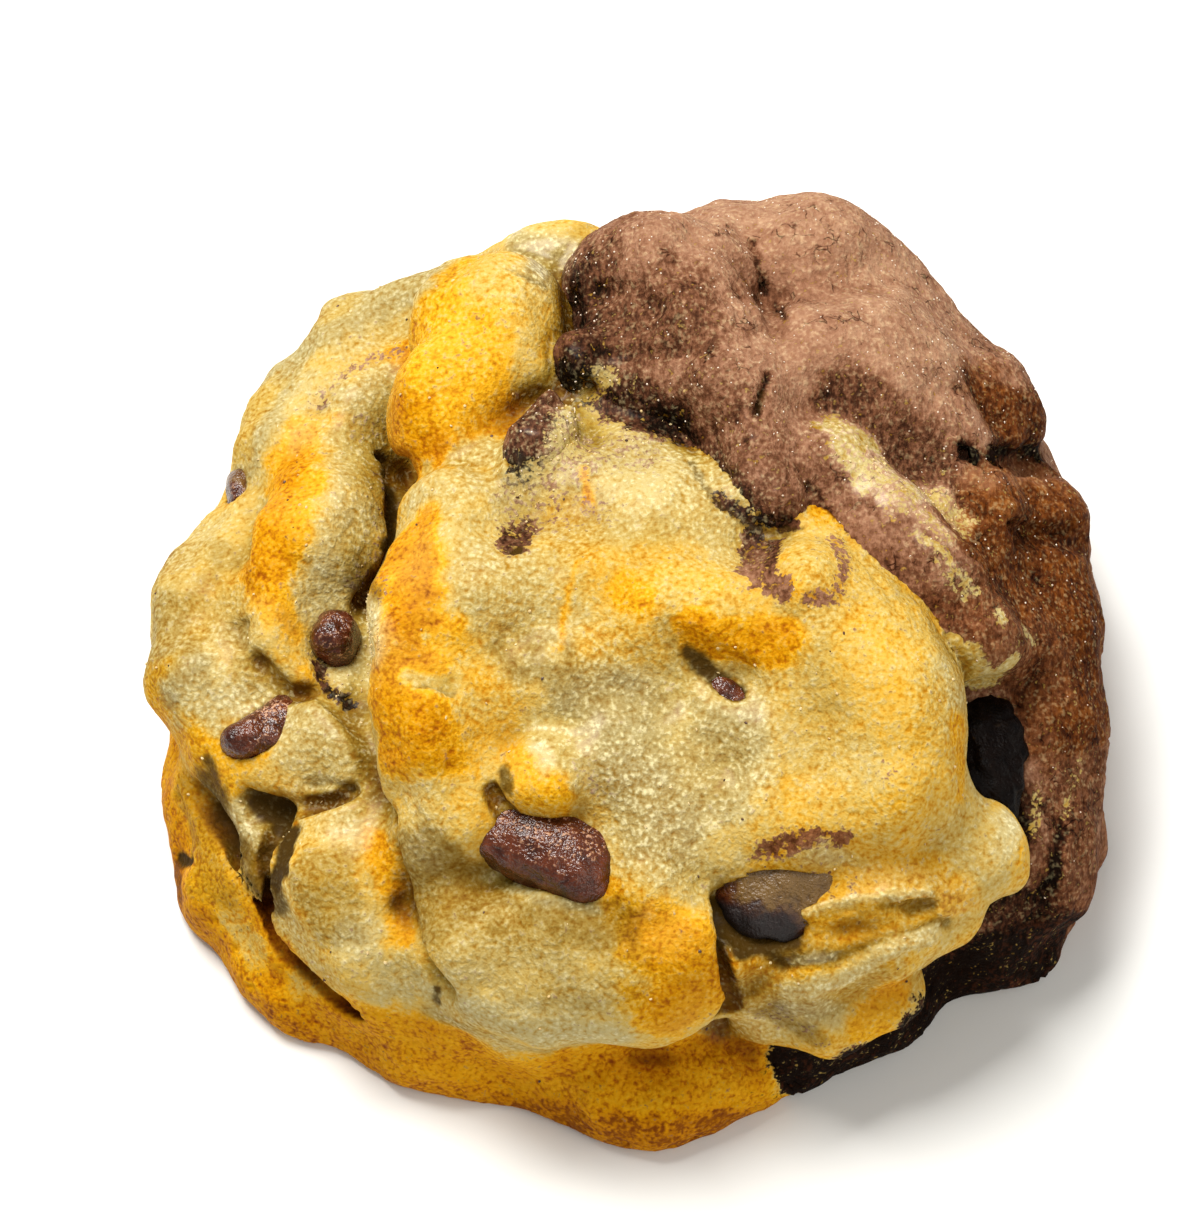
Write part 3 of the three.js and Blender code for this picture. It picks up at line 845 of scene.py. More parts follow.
@dataclass
class Baked:
    """Both doughs as they lie together.

    Attributes:
        pale, cocoa: The doughs.
        chips: The chocolate pieces, each in its socket.
        drift: How the folds wander.
        join: Width over which the doughs are pressed together.
        tuck: How far one dough's mesh reaches under the other's edge.
        heel: Width over which the bottom edge is rounded.
        lip: Width over which a socket's lip is rounded.
        bite: How far a chip's skin is set into the dough.
    """

    pale: Dough
    cocoa: Dough
    chips: Mapping[str, Drop]
    drift: Drift = field(default_factory=Drift)
    join: float = 0.9
    tuck: float = 0.35
    heel: float = 1.4
    lip: float = 0.5
    bite: float = 0.2

    def together(self, points: Points, own: Numbers, other: Numbers, sunk: float) -> Numbers:
        """One dough's share of the whole.

        Args:
            points: Where to read it.
            own: This dough's distances.
            other: The other dough's distances.
            sunk: How far this dough's skin drops where it reaches under the other.

        Returns:
            Distances of the share, less than zero inside.
        """
        whole = soften(own, other, self.join)
        lead = (own - other) / 2.0
        whole = whole + sunk * smoothstep(-self.tuck, self.tuck, lead)
        result = np.maximum(whole, lead - self.tuck)
        for chip in self.chips.values():
            result = -soften(-result, chip(points) + self.bite, self.lip)
        return -soften(-result, points[:, 2], self.heel)

    def pale_share(self, points: Points) -> Numbers:
        """Distances of the pale dough as it lies."""
        read = self.drift(points)
        return self.together(points, self.pale(read), self.cocoa(read), sunk=0.0)

    def cocoa_share(self, points: Points) -> Numbers:
        """Distances of the cocoa dough as it lies."""
        read = self.drift(points)
        return self.together(points, self.cocoa(read), self.pale(read), sunk=0.25)

    def whole(self, points: Points) -> Numbers:
        """Distances of both doughs as one."""
        read = self.drift(points)
        return np.maximum(soften(self.pale(read), self.cocoa(read), self.join), -points[:, 2])


def mesh_object(name: str, skin: Skin, shift: np.ndarray) -> bpy.types.Object:
    """A skin as an object at the origin, in metres, with its coats as attributes."""
    mesh = bpy.data.meshes.new(name)
    mesh.from_pydata(((skin.points + shift) * MM).tolist(), [], skin.quads.tolist())
    mesh.update()
    mesh.shade_smooth()
    for coat, values in skin.coats.items():
        layer = mesh.attributes.new(coat.value, "FLOAT", "POINT")
        layer.data.foreach_set("value", values.astype(np.float32))
    made = bpy.data.objects.new(name, mesh)
    bpy.context.scene.collection.objects.link(made)
    return made


# -------------------- relief and coats


class Air:
    """Distances around the cookie on a coarse grid, which tell how sheltered a place is."""

    LOW = np.array([-54.0, -53.0, -6.0])
    HIGH = np.array([54.0, 53.0, 54.0])
    STEP = 1.25

    def __init__(self, whole: Distance) -> None:
        """Reads the distances of the whole cookie once."""
        starts = [np.arange(l, h, self.STEP) for l, h in zip(self.LOW, self.HIGH)]
        corners = np.stack(np.meshgrid(*starts, indexing="ij"), -1)
        self.values = whole(corners.reshape(-1, 3)).reshape(corners.shape[:3])

    def distance(self, points: Points) -> Numbers:
        """The distance at each point, drawn between the grid's corners."""
        spot = (points - self.LOW) / self.STEP
        base = np.clip(np.floor(spot).astype(int), 0, np.array(self.values.shape) - 2)
        part = spot - base
        total = np.zeros(len(points))
        for step in np.ndindex(2, 2, 2):
            offset = np.array(step)
            weight = np.prod(np.where(offset == 1, part, 1.0 - part), axis=1)
            total += weight * self.values[tuple((base + offset).T)]
        return total

    def shelter(self, skin: Skin) -> Numbers:
        """How closed in each vertex is, from 0 in the open to 1 in a crevice."""
        total = np.zeros(len(skin.points))
        for reach, weight in ((1.5, 0.3), (3.0, 0.35), (6.0, 0.35)):
            out = self.distance(skin.points + skin.normals * reach)
            total += weight * np.clip(1.0 - out / reach, 0.0, 1.0)
        return total


@dataclass(frozen=True)
class Crumb:
    """The relief of baked dough, in millimetres.

    Attributes:
        lumps: Heights of the slow, middle and fine unevenness of pale dough.
        cocoa_lumps: The same for cocoa dough, which is coarser.
        pore: Depth of the pores in the browned foot.
        crack: Depth of the cracks in cocoa dough.
    """

    lumps: Place = (0.26, 0.15, 0.09)
    cocoa_lumps: Place = (0.26, 0.20, 0.15)
    pore: float = 0.38
    crack: float = 0.34

    def heights(self, skin: Skin) -> Numbers:
        """How far each vertex moves outwards."""
        points, coats = skin.points, skin.coats
        cocoa = coats[Coat.COCOA]
        waves = [noise(points, size, seed) for size, seed in ((5.0, 1), (2.3, 2), (1.2, 3))]
        pale = sum(h * w for h, w in zip(self.lumps, waves))
        dark = sum(h * w for h, w in zip(self.cocoa_lumps, waves))
        warped = points + 0.7 * np.stack([noise(points, 2.5, 60 + a) for a in range(3)], axis=1)
        first, second, own = cells_near(warped, 3.6, 9)
        open_crack = smoothstep(0.42, 0.62, own) * smoothstep(-0.2, 0.3, noise(points, 9.0, 8))
        dark = dark - self.crack * open_crack * (1.0 - smoothstep(0.02, 0.16, second - first))
        near, _, number = cells_near(points, 1.9, 7)
        pores = smoothstep(0.5, 0.8, number) * (1.0 - smoothstep(0.12, 0.36, near))
        foot = coats[Coat.FOOT]
        pale = pale - foot * self.pore * pores + foot * 0.10 * noise(points, 1.4, 12)
        raised = pale + (dark - pale) * cocoa
        return raised + coats.get(Coat.HEIGHT, 0.0)


@dataclass
class Coater:
    """Works out what covers each place of a dough: baked crust, foot, shelter and strokes.

    Attributes:
        painter: Lays the strokes.
        air: Tells how sheltered a place is.
        foot_top: Height at which the browned foot ends.
    """

    painter: Painter
    air: Air
    foot_top: float = 10.5

    def coat(self, skin: Skin, cocoa: float, strokes: Sequence[Stroke]) -> None:
        """Fills in a skin's coats.

        Args:
            skin: The dough's skin.
            cocoa: 1 for cocoa dough, 0 for pale.
            strokes: What is laid, in its order.
        """
        points, up = skin.points, skin.normals[:, 2]
        count = len(points)
        height = points[:, 2] + 1.3 * noise(points, 6.0, 21)
        foot = 1.0 - smoothstep(self.foot_top - 2.0, self.foot_top + 2.0, height)
        broad = skin.bulge(60)
        crust = 0.22 + 0.16 * noise(points, 8.0, 22) + 0.22 * smoothstep(0.1, 0.9, broad)
        crust = crust + 0.10 * up - 0.18 * smoothstep(0.0, 0.8, -broad)
        baked = 0.74 + 0.10 * noise(points, 5.0, 23) + 0.16 * (1.0 - smoothstep(1.0, 5.0, points[:, 2]))
        skin.coats[Coat.BROWN] = (crust + (baked - crust) * foot) * (1.0 - 0.85 * cocoa)
        skin.coats[Coat.GREASE] = np.zeros(count)
        skin.coats[Coat.PAINTED_SHADE] = np.zeros(count)
        skin.coats[Coat.CARAMEL] = 0.25 * foot
        skin.coats[Coat.DARK] = 0.30 + 0.12 * noise(points, 7.0, 24) + 0.1 * foot
        skin.coats[Coat.COCOA] = np.full(count, cocoa)
        skin.coats[Coat.FOOT] = foot
        open_top = smoothstep(-0.1, 0.6, up) * smoothstep(8.0, 14.0, points[:, 2])
        patchy = np.clip(0.5 + 0.6 * noise(points, 7.0, 25), 0.0, 1.0)
        dusty = smoothstep(0.0, 12.0, points[:, 1])
        skin.coats[Coat.SUGAR] = open_top * patchy * cocoa * (0.12 + 0.5 * dusty)
        skin.coats[Coat.CRUMBS] = 0.04 * open_top * patchy * (1.0 - cocoa)
        skin.coats[Coat.FLECKS] = 0.012 * patchy * (1.0 - cocoa) * smoothstep(0.0, 0.3, up)
        self.painter.paint(skin, strokes)
        skin.coats[Coat.BROAD] = noise(points, 6.5, 26)
        skin.coats[Coat.COARSE] = noise(points, 2.4, 27) * 0.7 + noise(points, 1.3, 28) * 0.4
        # How sheltered each place is; the finish darkens sheltered places as painted shade.
        skin.coats[Coat.HOLLOW] = np.clip(
            self.air.shelter(skin) + 0.3 * smoothstep(0.1, 0.6, -skin.bulge(20)), 0.0, 1.0
        )

    def shape(self, skin: Skin, crumb: Crumb) -> None:
        """Raises the relief, keeping the underside on the tray."""
        skin.points = skin.points + skin.normals * crumb.heights(skin)[:, None]
        skin.points[:, 2] = np.maximum(skin.points[:, 2], 0.0)
        skin.coats.pop(Coat.HEIGHT, None)


# -------------------- nodes


class Wire:
    """The output of a node."""

    def __init__(self, graph: "Graph", socket: bpy.types.NodeSocket) -> None:
        """Wraps a socket."""
        self.graph = graph
        self.socket = socket


class Number(Wire):
    """A number that varies over a surface, whose operators add Math nodes."""

    def math(self, operation: str, *others: object, clamp: bool = False) -> "Number":
        """A Math node on this number and others."""
        settings = {"operation": operation, "use_clamp": clamp}
        made = self.graph.node("ShaderNodeMath", settings, dict(enumerate((self, *others))))
        return Number(self.graph, made.outputs[0])

    def __add__(self, other: object) -> "Number":
        """The sum."""
        return self.math("ADD", other)

    __radd__ = __add__

    def __mul__(self, other: object) -> "Number":
        """The product."""
        return self.math("MULTIPLY", other)

    __rmul__ = __mul__

    def __sub__(self, other: object) -> "Number":
        """The difference."""
        return self.math("SUBTRACT", other)

    def __rsub__(self, other: float) -> "Number":
        """A number less this one."""
        return (self * -1.0).math("ADD", other)

    def clamped(self) -> "Number":
        """Kept from 0 to 1."""
        return self.math("ADD", 0.0, clamp=True)

    def eased(self, low: float, high: float) -> "Number":
        """Eases from 0 at low to 1 at high."""
        limits = {"Value": self, "From Min": low, "From Max": high}
        made = self.graph.node("ShaderNodeMapRange", {"interpolation_type": "SMOOTHSTEP"}, limits)
        return Number(self.graph, made.outputs[0])


class Tint(Wire):
    """A colour that varies over a surface."""

    def blend(self, mode: str, other: object, share: object) -> "Tint":
        """A Mix node on this colour and another."""
        settings = {"data_type": "RGBA", "blend_type": mode, "clamp_factor": True}
        made = self.graph.node("ShaderNodeMix", settings, {0: share, 6: self, 7: other})
        return Tint(self.graph, made.outputs[2])

    def towards(self, other: object, share: object) -> "Tint":
        """This colour, changed to another by a share."""
        return self.blend("MIX", linear(other) if isinstance(other, tuple) else other, share)

    def stained(self, hue: Hue, share: object) -> "Tint":
        """This colour seen through a stain."""
        return self.blend("MULTIPLY", linear(hue), share)


class Graph:
    """A node tree that is being wired."""

    def __init__(self, tree: bpy.types.NodeTree) -> None:
        """Takes the tree."""
        self.tree = tree

    def node(
        self,
        kind: str,
        settings: Mapping[str, object] | None = None,
        inputs: Mapping[str | int, object] | None = None,
    ) -> bpy.types.Node:
        """Adds a node.

        Args:
            kind: Its type.
            settings: Its own settings, such as an operation or a ramp's stops.
            inputs: The value or wire of each named socket.

        Returns:
            The node.
        """
        made = self.tree.nodes.new(kind)
        for name, value in (settings or {}).items():
            if name == "stops":
                self.fill_ramp(made.color_ramp, value)
            else:
                setattr(made, name, value)
        for key, value in (inputs or {}).items():
            if isinstance(value, Wire):
                self.tree.links.new(value.socket, made.inputs[key])
            elif isinstance(value, bpy.types.NodeSocket):
                self.tree.links.new(value, made.inputs[key])
            else:
                made.inputs[key].default_value = value
        return made

    @staticmethod
    def fill_ramp(ramp: bpy.types.ColorRamp, stops: Sequence[tuple[float, Hue]]) -> None:
        """Sets a ramp's stops."""
        while len(ramp.elements) < len(stops):
            ramp.elements.new(1.0)
        for element, (position, hue) in zip(ramp.elements, stops):
            element.position = position
            element.color = linear(hue)

    def place(self) -> Wire:
        """Object coordinates in millimetres."""
        found = self.node("ShaderNodeTexCoord").outputs["Object"]
        made = self.node("ShaderNodeVectorMath", {"operation": "SCALE"}, {"Vector": found, "Scale": 1.0 / MM})
        return Wire(self, made.outputs[0])

    def coat(self, coat: Coat) -> Number:
        """A coat kept at the mesh's vertices."""
        return Number(self, self.node("ShaderNodeAttribute", {"attribute_name": coat.value}).outputs["Fac"])

    def surface(self, values: Mapping[str, object]) -> None:
        """Ends the graph in a shader with these values."""
        shader = self.node("ShaderNodeBsdfPrincipled", inputs=values)
        self.node("ShaderNodeOutputMaterial", inputs={"Surface": shader.outputs[0]})

    def lumps(self, place: Wire, size: float, detail: float = 2.0, rough: float = 0.5) -> Number:
        """Noise from about -1 to 1, whose lumps are size millimetres across."""
        settings = {"noise_dimensions": "3D", "normalize": True}
        values = {"Vector": place, "Scale": 1.0 / size, "Detail": detail, "Roughness": rough}
        return Number(self, self.node("ShaderNodeTexNoise", settings, values).outputs[0]) * 2.0 - 1.0

    def cells(self, place: Wire, size: float, feature: str = "F1") -> Number:
        """The distance to scattered seeds that are size millimetres apart."""
        made = self.node("ShaderNodeTexVoronoi", {"feature": feature}, {"Vector": place, "Scale": 1.0 / size})
        return Number(self, made.outputs["Distance"])

    def ramp(self, level: Number, stops: Sequence[tuple[float, Hue]]) -> Tint:
        """The colour at a level of a ramp."""
        return Tint(self, self.node("ShaderNodeValToRGB", {"stops": stops}, {0: level}).outputs[0])


def new_material(name: str) -> tuple[bpy.types.Material, Graph]:
    """An empty material and its graph."""
    made = bpy.data.materials.new(name)
    made.use_nodes = True
    made.node_tree.nodes.clear()
    return made, Graph(made.node_tree)


# -------------------- finishes


@dataclass(frozen=True)
class Grains:
    """The unevenness that a dough's colours and its relief share.

    Attributes:
        place: Where it is read.
        broad: Slow unevenness.
        coarse: Quicker unevenness.
        grain: Grains of the crumb.
        fine: Finer grains.
        pebbles: Rounded grains, high in their middles.
    """

    place: Wire
    broad: Number
    coarse: Number
    grain: Number
    fine: Number
    pebbles: Number

    @property
    def sand(self) -> Number:
        """All the grains together, from about -1 in the gaps to 1 on top."""
        return self.grain * 0.3 + self.fine * 0.3 + self.pebbles * 0.4


@dataclass(frozen=True)
class DoughFinish:
    """Baked dough: pale crust or cocoa crust, as its coats say.

    Attributes:
        cracked: Whether its cocoa crust has fine cracks.
        crust: Colours of pale dough as it browns.
        cocoa: Colours of cocoa dough, from its dry dusty top to its moist dark inside, also carrying its
            painted light and painted shade.
        butter: The colour of pale dough where butter shows.
        shaded: The painted shade of pale dough a little way into a fold.
        deep_shade: The painted shade of pale dough at the bottom of a fold.
        gaps: What darkens it between its grains: partly their own tone, partly painted shade.
        caramel: What turns browned cocoa crust gold, and warms the painted shade on its right side.
        cracks: What darkens the cracks in cocoa crust.
        umber: The colour of painted shade in hollows, creases and under folds.
        lights: The colour that its highest grains turn to, partly their own tone and partly painted
            highlight.
        grain, fine, pebble, fibre: Millimetres across one of each.
        pull: How closely the fibres' noise is read along X, Y and Z.
        net, wander: Millimetres between cracks, and how far they stray.
        relief: Metres from the lowest to the highest of its finest relief.
    """

    cracked: bool

    crust: Sequence[tuple[float, Hue]] = (
        (0.0, (184, 170, 122)), (0.2, (194, 171, 106)), (0.4, (206, 172, 84)), (0.6, (222, 166, 24)),
        (0.78, (206, 142, 0)), (0.9, (184, 116, 0)), (1.0, (142, 80, 0)),
    )
    cocoa: Sequence[tuple[float, Hue]] = (
        (0.0, (172, 133, 104)), (0.25, (144, 102, 77)), (0.5, (106, 67, 45)), (0.75, (62, 34, 20)),
        (1.0, (18, 7, 2)),
    )
    butter: Hue = (208, 188, 128)
    shaded: Hue = (226, 208, 126)
    deep_shade: Hue = (142, 110, 30)
    gaps: Hue = (204, 172, 84)
    caramel: Hue = (222, 180, 96)
    cracks: Hue = (112, 74, 56)
    umber: Hue = (64, 44, 8)
    lights: Hue = (232, 218, 162)
    grain: float = 0.85
    fine: float = 0.36
    pebble: float = 0.52
    fibre: float = 0.42
    pull: Place = (1.0, 0.55, 0.55)
    net: float = 1.5
    wander: float = 1.6
    relief: float = 0.00013

    def grains(self, graph: Graph) -> Grains:
        """The unevenness that the colours and the relief share."""
        place = graph.place()
        return Grains(
            place=place,
            broad=graph.coat(Coat.BROAD),
            coarse=graph.coat(Coat.COARSE),
            grain=graph.lumps(place, self.grain, 2.0, 0.6).eased(-0.5, 0.5) * 2.0 - 1.0,
            fine=graph.lumps(place, self.fine, 1.0).eased(-0.5, 0.5) * 2.0 - 1.0,
            pebbles=1.0 - graph.cells(place, self.pebble) * 2.0,
        )

    def pale_colour(self, graph: Graph, grains: Grains, level: Number) -> Tint:
        """The colour of pale dough that is browned to a level."""
        grease, hollow, foot = graph.coat(Coat.GREASE), graph.coat(Coat.HOLLOW), graph.coat(Coat.FOOT)
        colour = graph.ramp(level.clamped(), self.crust)
        colour = colour.towards(self.butter, (grease * 0.65 + grains.broad * 0.15 - foot).clamped())
        # Painted shade: darker and more olive in sheltered places and at the bottom of folds.
        colour = colour.stained(self.shaded, (hollow * 1.5).clamped())
        colour = colour.stained(self.deep_shade, (hollow.eased(0.4, 1.0) * 0.95 + grains.grain * 0.15).clamped())
        # Darker between the grains: partly their own tone, partly painted shade.
        return colour.stained(self.gaps, (grains.broad * -0.4 - grains.sand * 1.2).clamped())

    def weave(self, graph: Graph, grains: Grains) -> Number:
        """Short fibres in the cocoa dough, strongest where it is neither dry nor moist."""
        stretch = {0: grains.place, 1: self.pull}
        pulled = graph.node("ShaderNodeVectorMath", {"operation": "MULTIPLY"}, stretch)
        lumps = graph.lumps(Wire(graph, pulled.outputs[0]), self.fibre, 2.0, 0.6)
        fibre = lumps.eased(-0.45, 0.45) * 2.0 - 1.0
        dark = graph.coat(Coat.DARK)
        return fibre * (dark * (1.2 - dark)).clamped() * 0.5

    def cocoa_colour(self, graph: Graph, grains: Grains, weave: Number) -> Tint:
        """The colour of cocoa dough without its cracks."""
        tone = graph.coat(Coat.DARK) + grains.coarse * 0.22 - grains.sand * 0.2 - weave
        # Sheltered places are read darker along the ramp: painted shade.
        colour = graph.ramp((tone + graph.coat(Coat.HOLLOW) * 0.36).clamped(), self.cocoa)
        return colour.stained(self.caramel, (graph.coat(Coat.CARAMEL) * 1.15 + grains.grain * 0.15).clamped())

    def crack(self, graph: Graph, grains: Grains) -> Number:
        """How far each place lies in a crack, from 0 to 1."""
        bends = graph.node("ShaderNodeTexNoise", inputs={"Vector": grains.place, "Scale": 0.8, "Detail": 1.0})
        stray = {0: bends.outputs["Color"], 1: (self.wander,) * 3, 2: grains.place}
        bent = graph.node("ShaderNodeVectorMath", {"operation": "MULTIPLY_ADD"}, stray)
        edges = graph.cells(Wire(graph, bent.outputs[0]), self.net, "DISTANCE_TO_EDGE")
        dry = (grains.coarse + grains.grain * 0.25 + grains.broad * 0.3).eased(0.15, 0.5)
        return (1.0 - edges.eased(0.0, 0.08)) * dry

    def material(self, name: str) -> bpy.types.Material:
        """The material."""
        made, graph = new_material(name)
        grains = self.grains(graph)
        sand = grains.sand
        grease, hollow, foot = graph.coat(Coat.GREASE), graph.coat(Coat.HOLLOW), graph.coat(Coat.FOOT)
        level = graph.coat(Coat.BROWN) + grains.coarse * 0.12 - sand * (foot * 0.06 + 0.16)
        weave = self.weave(graph, grains)
        cocoa = self.cocoa_colour(graph, grains, weave)
        share = (graph.coat(Coat.COCOA) + (grains.grain + grains.fine) * 0.3).eased(0.3, 0.7)
        height = grains.pebbles * 0.3 + grains.grain * 0.4 + grains.fine * 0.2 + grains.coarse * 0.3
        height = height + weave * share * 3.0
        if self.cracked:
            crack = self.crack(graph, grains)
            cocoa = cocoa.stained(self.cracks, crack * 0.9)
            height = height - crack
        colour = self.pale_colour(graph, grains, level).towards(cocoa, share)
        # Painted shade laid by the strokes, in hollows, creases and under folds.
        umber = (graph.coat(Coat.PAINTED_SHADE) - sand * 0.07).eased(0.2, 0.9)
        colour = colour.towards(self.umber, umber)
        # Lighter grain tops: partly their own tone, partly painted highlight, brighter where butter shows,
        # dimmer in sheltered places and in painted shade.
        bright = 0.44 + grease * 0.45 - level * 0.5 - share * 0.32 - foot * 0.2
        light = sand.eased(0.0, 0.65) * bright.clamped() * (1.0 - umber * 0.75) * (1.0 - hollow * 0.5)
        relief = {"Height": height, "Strength": 0.7, "Distance": self.relief}
        graph.surface({
            "Base Color": colour.blend("SCREEN", linear(self.lights), light),
            "Roughness": 0.66 + 0.14 * share - 0.25 * grease + 0.12 * grains.grain,
            "Normal": graph.node("ShaderNodeBump", inputs=relief).outputs[0],
            "Specular IOR Level": 0.05,
            "Coat Weight": (grease * 0.5).clamped(),
            "Coat Roughness": 0.28,
        })
        return made


@dataclass(frozen=True)
class ChocolateFinish:
    """Chocolate, glossy where it melted and specked where it bloomed.

    Attributes:
        dark: Its colour in the dips of its own lumps.
        light: Its colour on them.
        bloom: The colour of its bloom.
        film: The colour of dough drawn thinly over it, dark olive: partly its own tone, partly painted shade
            of the pocket.
        socket_shade: The painted shade where it lies sunk in its socket or pocket.
        roughness: How matt it is where it melted.
        shine: How strongly it reflects.
        coarse, grain, fine: Millimetres across its lumps.
        relief: Metres from the lowest to the highest of its finest relief.
    """

    dark: Hue = (50, 17, 5)
    light: Hue = (104, 48, 22)
    bloom: Hue = (200, 152, 116)
    film: Hue = (108, 80, 30)
    socket_shade: Hue = (70, 44, 26)
    roughness: float = 0.2
    shine: float = 0.5
    coarse: float = 1.6
    grain: float = 0.6
    fine: float = 0.3
    relief: float = 0.00022

    def material(self, name: str) -> bpy.types.Material:
        """The material."""
        made, graph = new_material(name)
        place = graph.place()
        coarse = graph.lumps(place, self.coarse, 2.0)
        grain = graph.lumps(place, self.grain, 2.0, 0.6)
        fine = graph.lumps(place, self.fine, 2.0, 0.6)
        depth = (coarse * 0.5 + grain * 0.3 + 0.5).clamped()
        colour = graph.ramp(depth, ((0.25, self.dark), (0.8, self.light)))
        bloom = graph.coat(Coat.BLOOM)
        specks = bloom * (fine + grain * 0.6 + bloom * 0.3).eased(0.3, 0.7)
        colour = colour.towards(self.bloom, specks.clamped())
        # Painted shade where the chip lies sunk in its socket or pocket.
        umber = graph.coat(Coat.PAINTED_SHADE)
        colour = colour.stained(self.socket_shade, umber)
        film = (graph.coat(Coat.FILM) + grain * 0.4 + coarse * 0.4).eased(0.2, 0.95)
        height = coarse * 0.4 + grain * 0.5 + fine * 0.25
        relief = {"Height": height, "Strength": 0.8, "Distance": self.relief}
        graph.surface({
            "Base Color": colour.towards(self.film, film * 0.85),
            "Roughness": self.roughness + 0.3 * specks + 0.1 * film + 0.4 * umber,
            "Normal": graph.node("ShaderNodeBump", inputs=relief).outputs[0],
            "Specular IOR Level": self.shine,
        })
        return made


@dataclass(frozen=True)
class BitFinish:
    """Loose bits: crystals, crumbs and flecks, each a little different.

    Attributes:
        dull: Their darkest colour.
        bright: Their lightest colour.
        roughness: How matt they are.
        patch: Millimetres over which their colour changes.
    """

    dull: Hue
    bright: Hue
    roughness: float
    patch: float = 0.9

    def material(self, name: str) -> bpy.types.Material:
        """The material."""
        made, graph = new_material(name)
        level = (graph.lumps(graph.place(), self.patch, 2.0) * 0.9 + 0.5).clamped()
        colour = graph.ramp(level, ((0.1, self.dull), (0.9, self.bright)))
        graph.surface({"Base Color": colour, "Roughness": self.roughness})
        return made


# -------------------- strokes, as the photograph shows them


# The pale roll round the left of the back, and the crown behind the crest.
RIM_STROKES: Mapping[str, Stroke] = {
    "shaded_roll": lay(
        ((245, 455), (262, 400), (290, 360), (330, 320), (380, 290), (430, 275)), 4.5, brown=0.12, umber=0.4,
    ),
    "gold_left_end": lay(((237, 450), (245, 420), (262, 392)), 2.2, 0.8, brown=0.48),
    "gold_left_back": lay(((300, 330), (350, 300)), 2, 0.7, brown=0.36),
    "cocoa_at_back": lay(((400, 272), (445, 262)), 2, cocoa=0.22, brown=0.15),
    "buttery_slope": lay(((385, 390), (350, 405), (320, 430)), 3.5, brown=0.06, grease=0.35),
    "cocoa_vein": lay(
        ((402, 350), (375, 357), (350, 370), (330, 390), (312, 412)), 0.9, 0.8, cocoa=0.52, grease=0.3,
    ),
    "cocoa_tint": lay(((355, 430), (380, 425)), 1.4, cocoa=0.25, grease=0.5),
    "gold_crown": lay(((490, 236), (540, 228), (585, 232)), 2.6, brown=0.34),
    "grey_crown": lay(((525, 245), (560, 255), (540, 275)), 2.6, brown=0.02, grease=0.8, umber=0.44),
    "crown_end": lay(((605, 225), (585, 242)), 1.8, brown=0.1, umber=0.3),
    "crown_crease_upper": lay(((515, 250), (560, 258)), 0.45, 0.7, umber=0.6, height=-0.15),
    "crown_crease_lower": lay(((510, 270), (545, 285)), 0.4, 0.7, umber=0.7, height=-0.15),
}


# The ridges and the cheek on the left, and the valley between them.
LEFT_STROKES: Mapping[str, Stroke] = {
    "cheek_shade": lay(((190, 560), (172, 610), (165, 660)), 6, brown=0.28, umber=0.48),
    "cheek_top_shade": lay(((205, 530), (180, 570)), 3, 0.7, brown=0.22, umber=0.3),
    "gold_cheek_end": lay(((160, 690), (168, 730), (200, 760), (230, 775)), 3.4, brown=0.62),
    "gold_cheek_slope": lay(((215, 600), (235, 650)), 4, brown=0.46, grease=0.15),
    "buttery_cheek": lay(((200, 690), (235, 670), (260, 690)), 4, brown=0.12, grease=0.35),
    "gold_ridge": lay(((315, 440), (292, 480), (276, 530), (262, 580), (258, 612)), 4.2, brown=0.72),
    "orange_ridge_crown": lay(((285, 470), (270, 530), (262, 580)), 2.2, 0.8, brown=0.8),
    "ridge_back": lay(((340, 440), (345, 490), (335, 520)), 2.4, brown=0.4),
    "buttery_flank": lay(((365, 450), (358, 500), (350, 550), (330, 595)), 3.4, brown=0.05, grease=0.5),
    "flank_smear": lay(((375, 470), (385, 500), (380, 550), (365, 585)), 1.6, 0.7, cocoa=0.3),
    "valley_shade": lay(((378, 458), (388, 490), (391, 520), (386, 555), (376, 590)), 0.9, umber=0.85),
    "valley_end_shade": lay(((355, 575), (375, 592)), 2.2, 0.8, umber=0.45),
    "dent_rim": lay(((218, 620), (240, 645), (262, 664)), 2.6, 0.8, brown=0.34, umber=0.34),
    "dent": lay(((238, 626), (242, 642)), 1, umber=1, height=-0.6),
    "butter_by_valley_chip": lay(((365, 612), (374, 640), (352, 672)), 2.8, brown=0, grease=0.8, crumbs=0.6),
    "smear_by_valley_chip": lay(((352, 582), (368, 576), (380, 590)), 1.4, 0.9, umber=0.6, cocoa=0.4),
    "chocolate_seam": lay(
        ((314, 640), (318, 665), (328, 690), (352, 704)), 0.7, cocoa=0.9, dark=0.7, umber=0.4, height=-0.3,
    ),
    "leaf_edge": lay(((255, 655), (285, 690), (300, 712)), 1.6, brown=0.32, grease=0.35),
    "leaf_shade": lay(((290, 640), (300, 690)), 1.2, 0.7, umber=0.45),
    "buttery_chip_bed": lay(((245, 702), (275, 698), (290, 715)), 1.8, brown=0, grease=0.7),
}


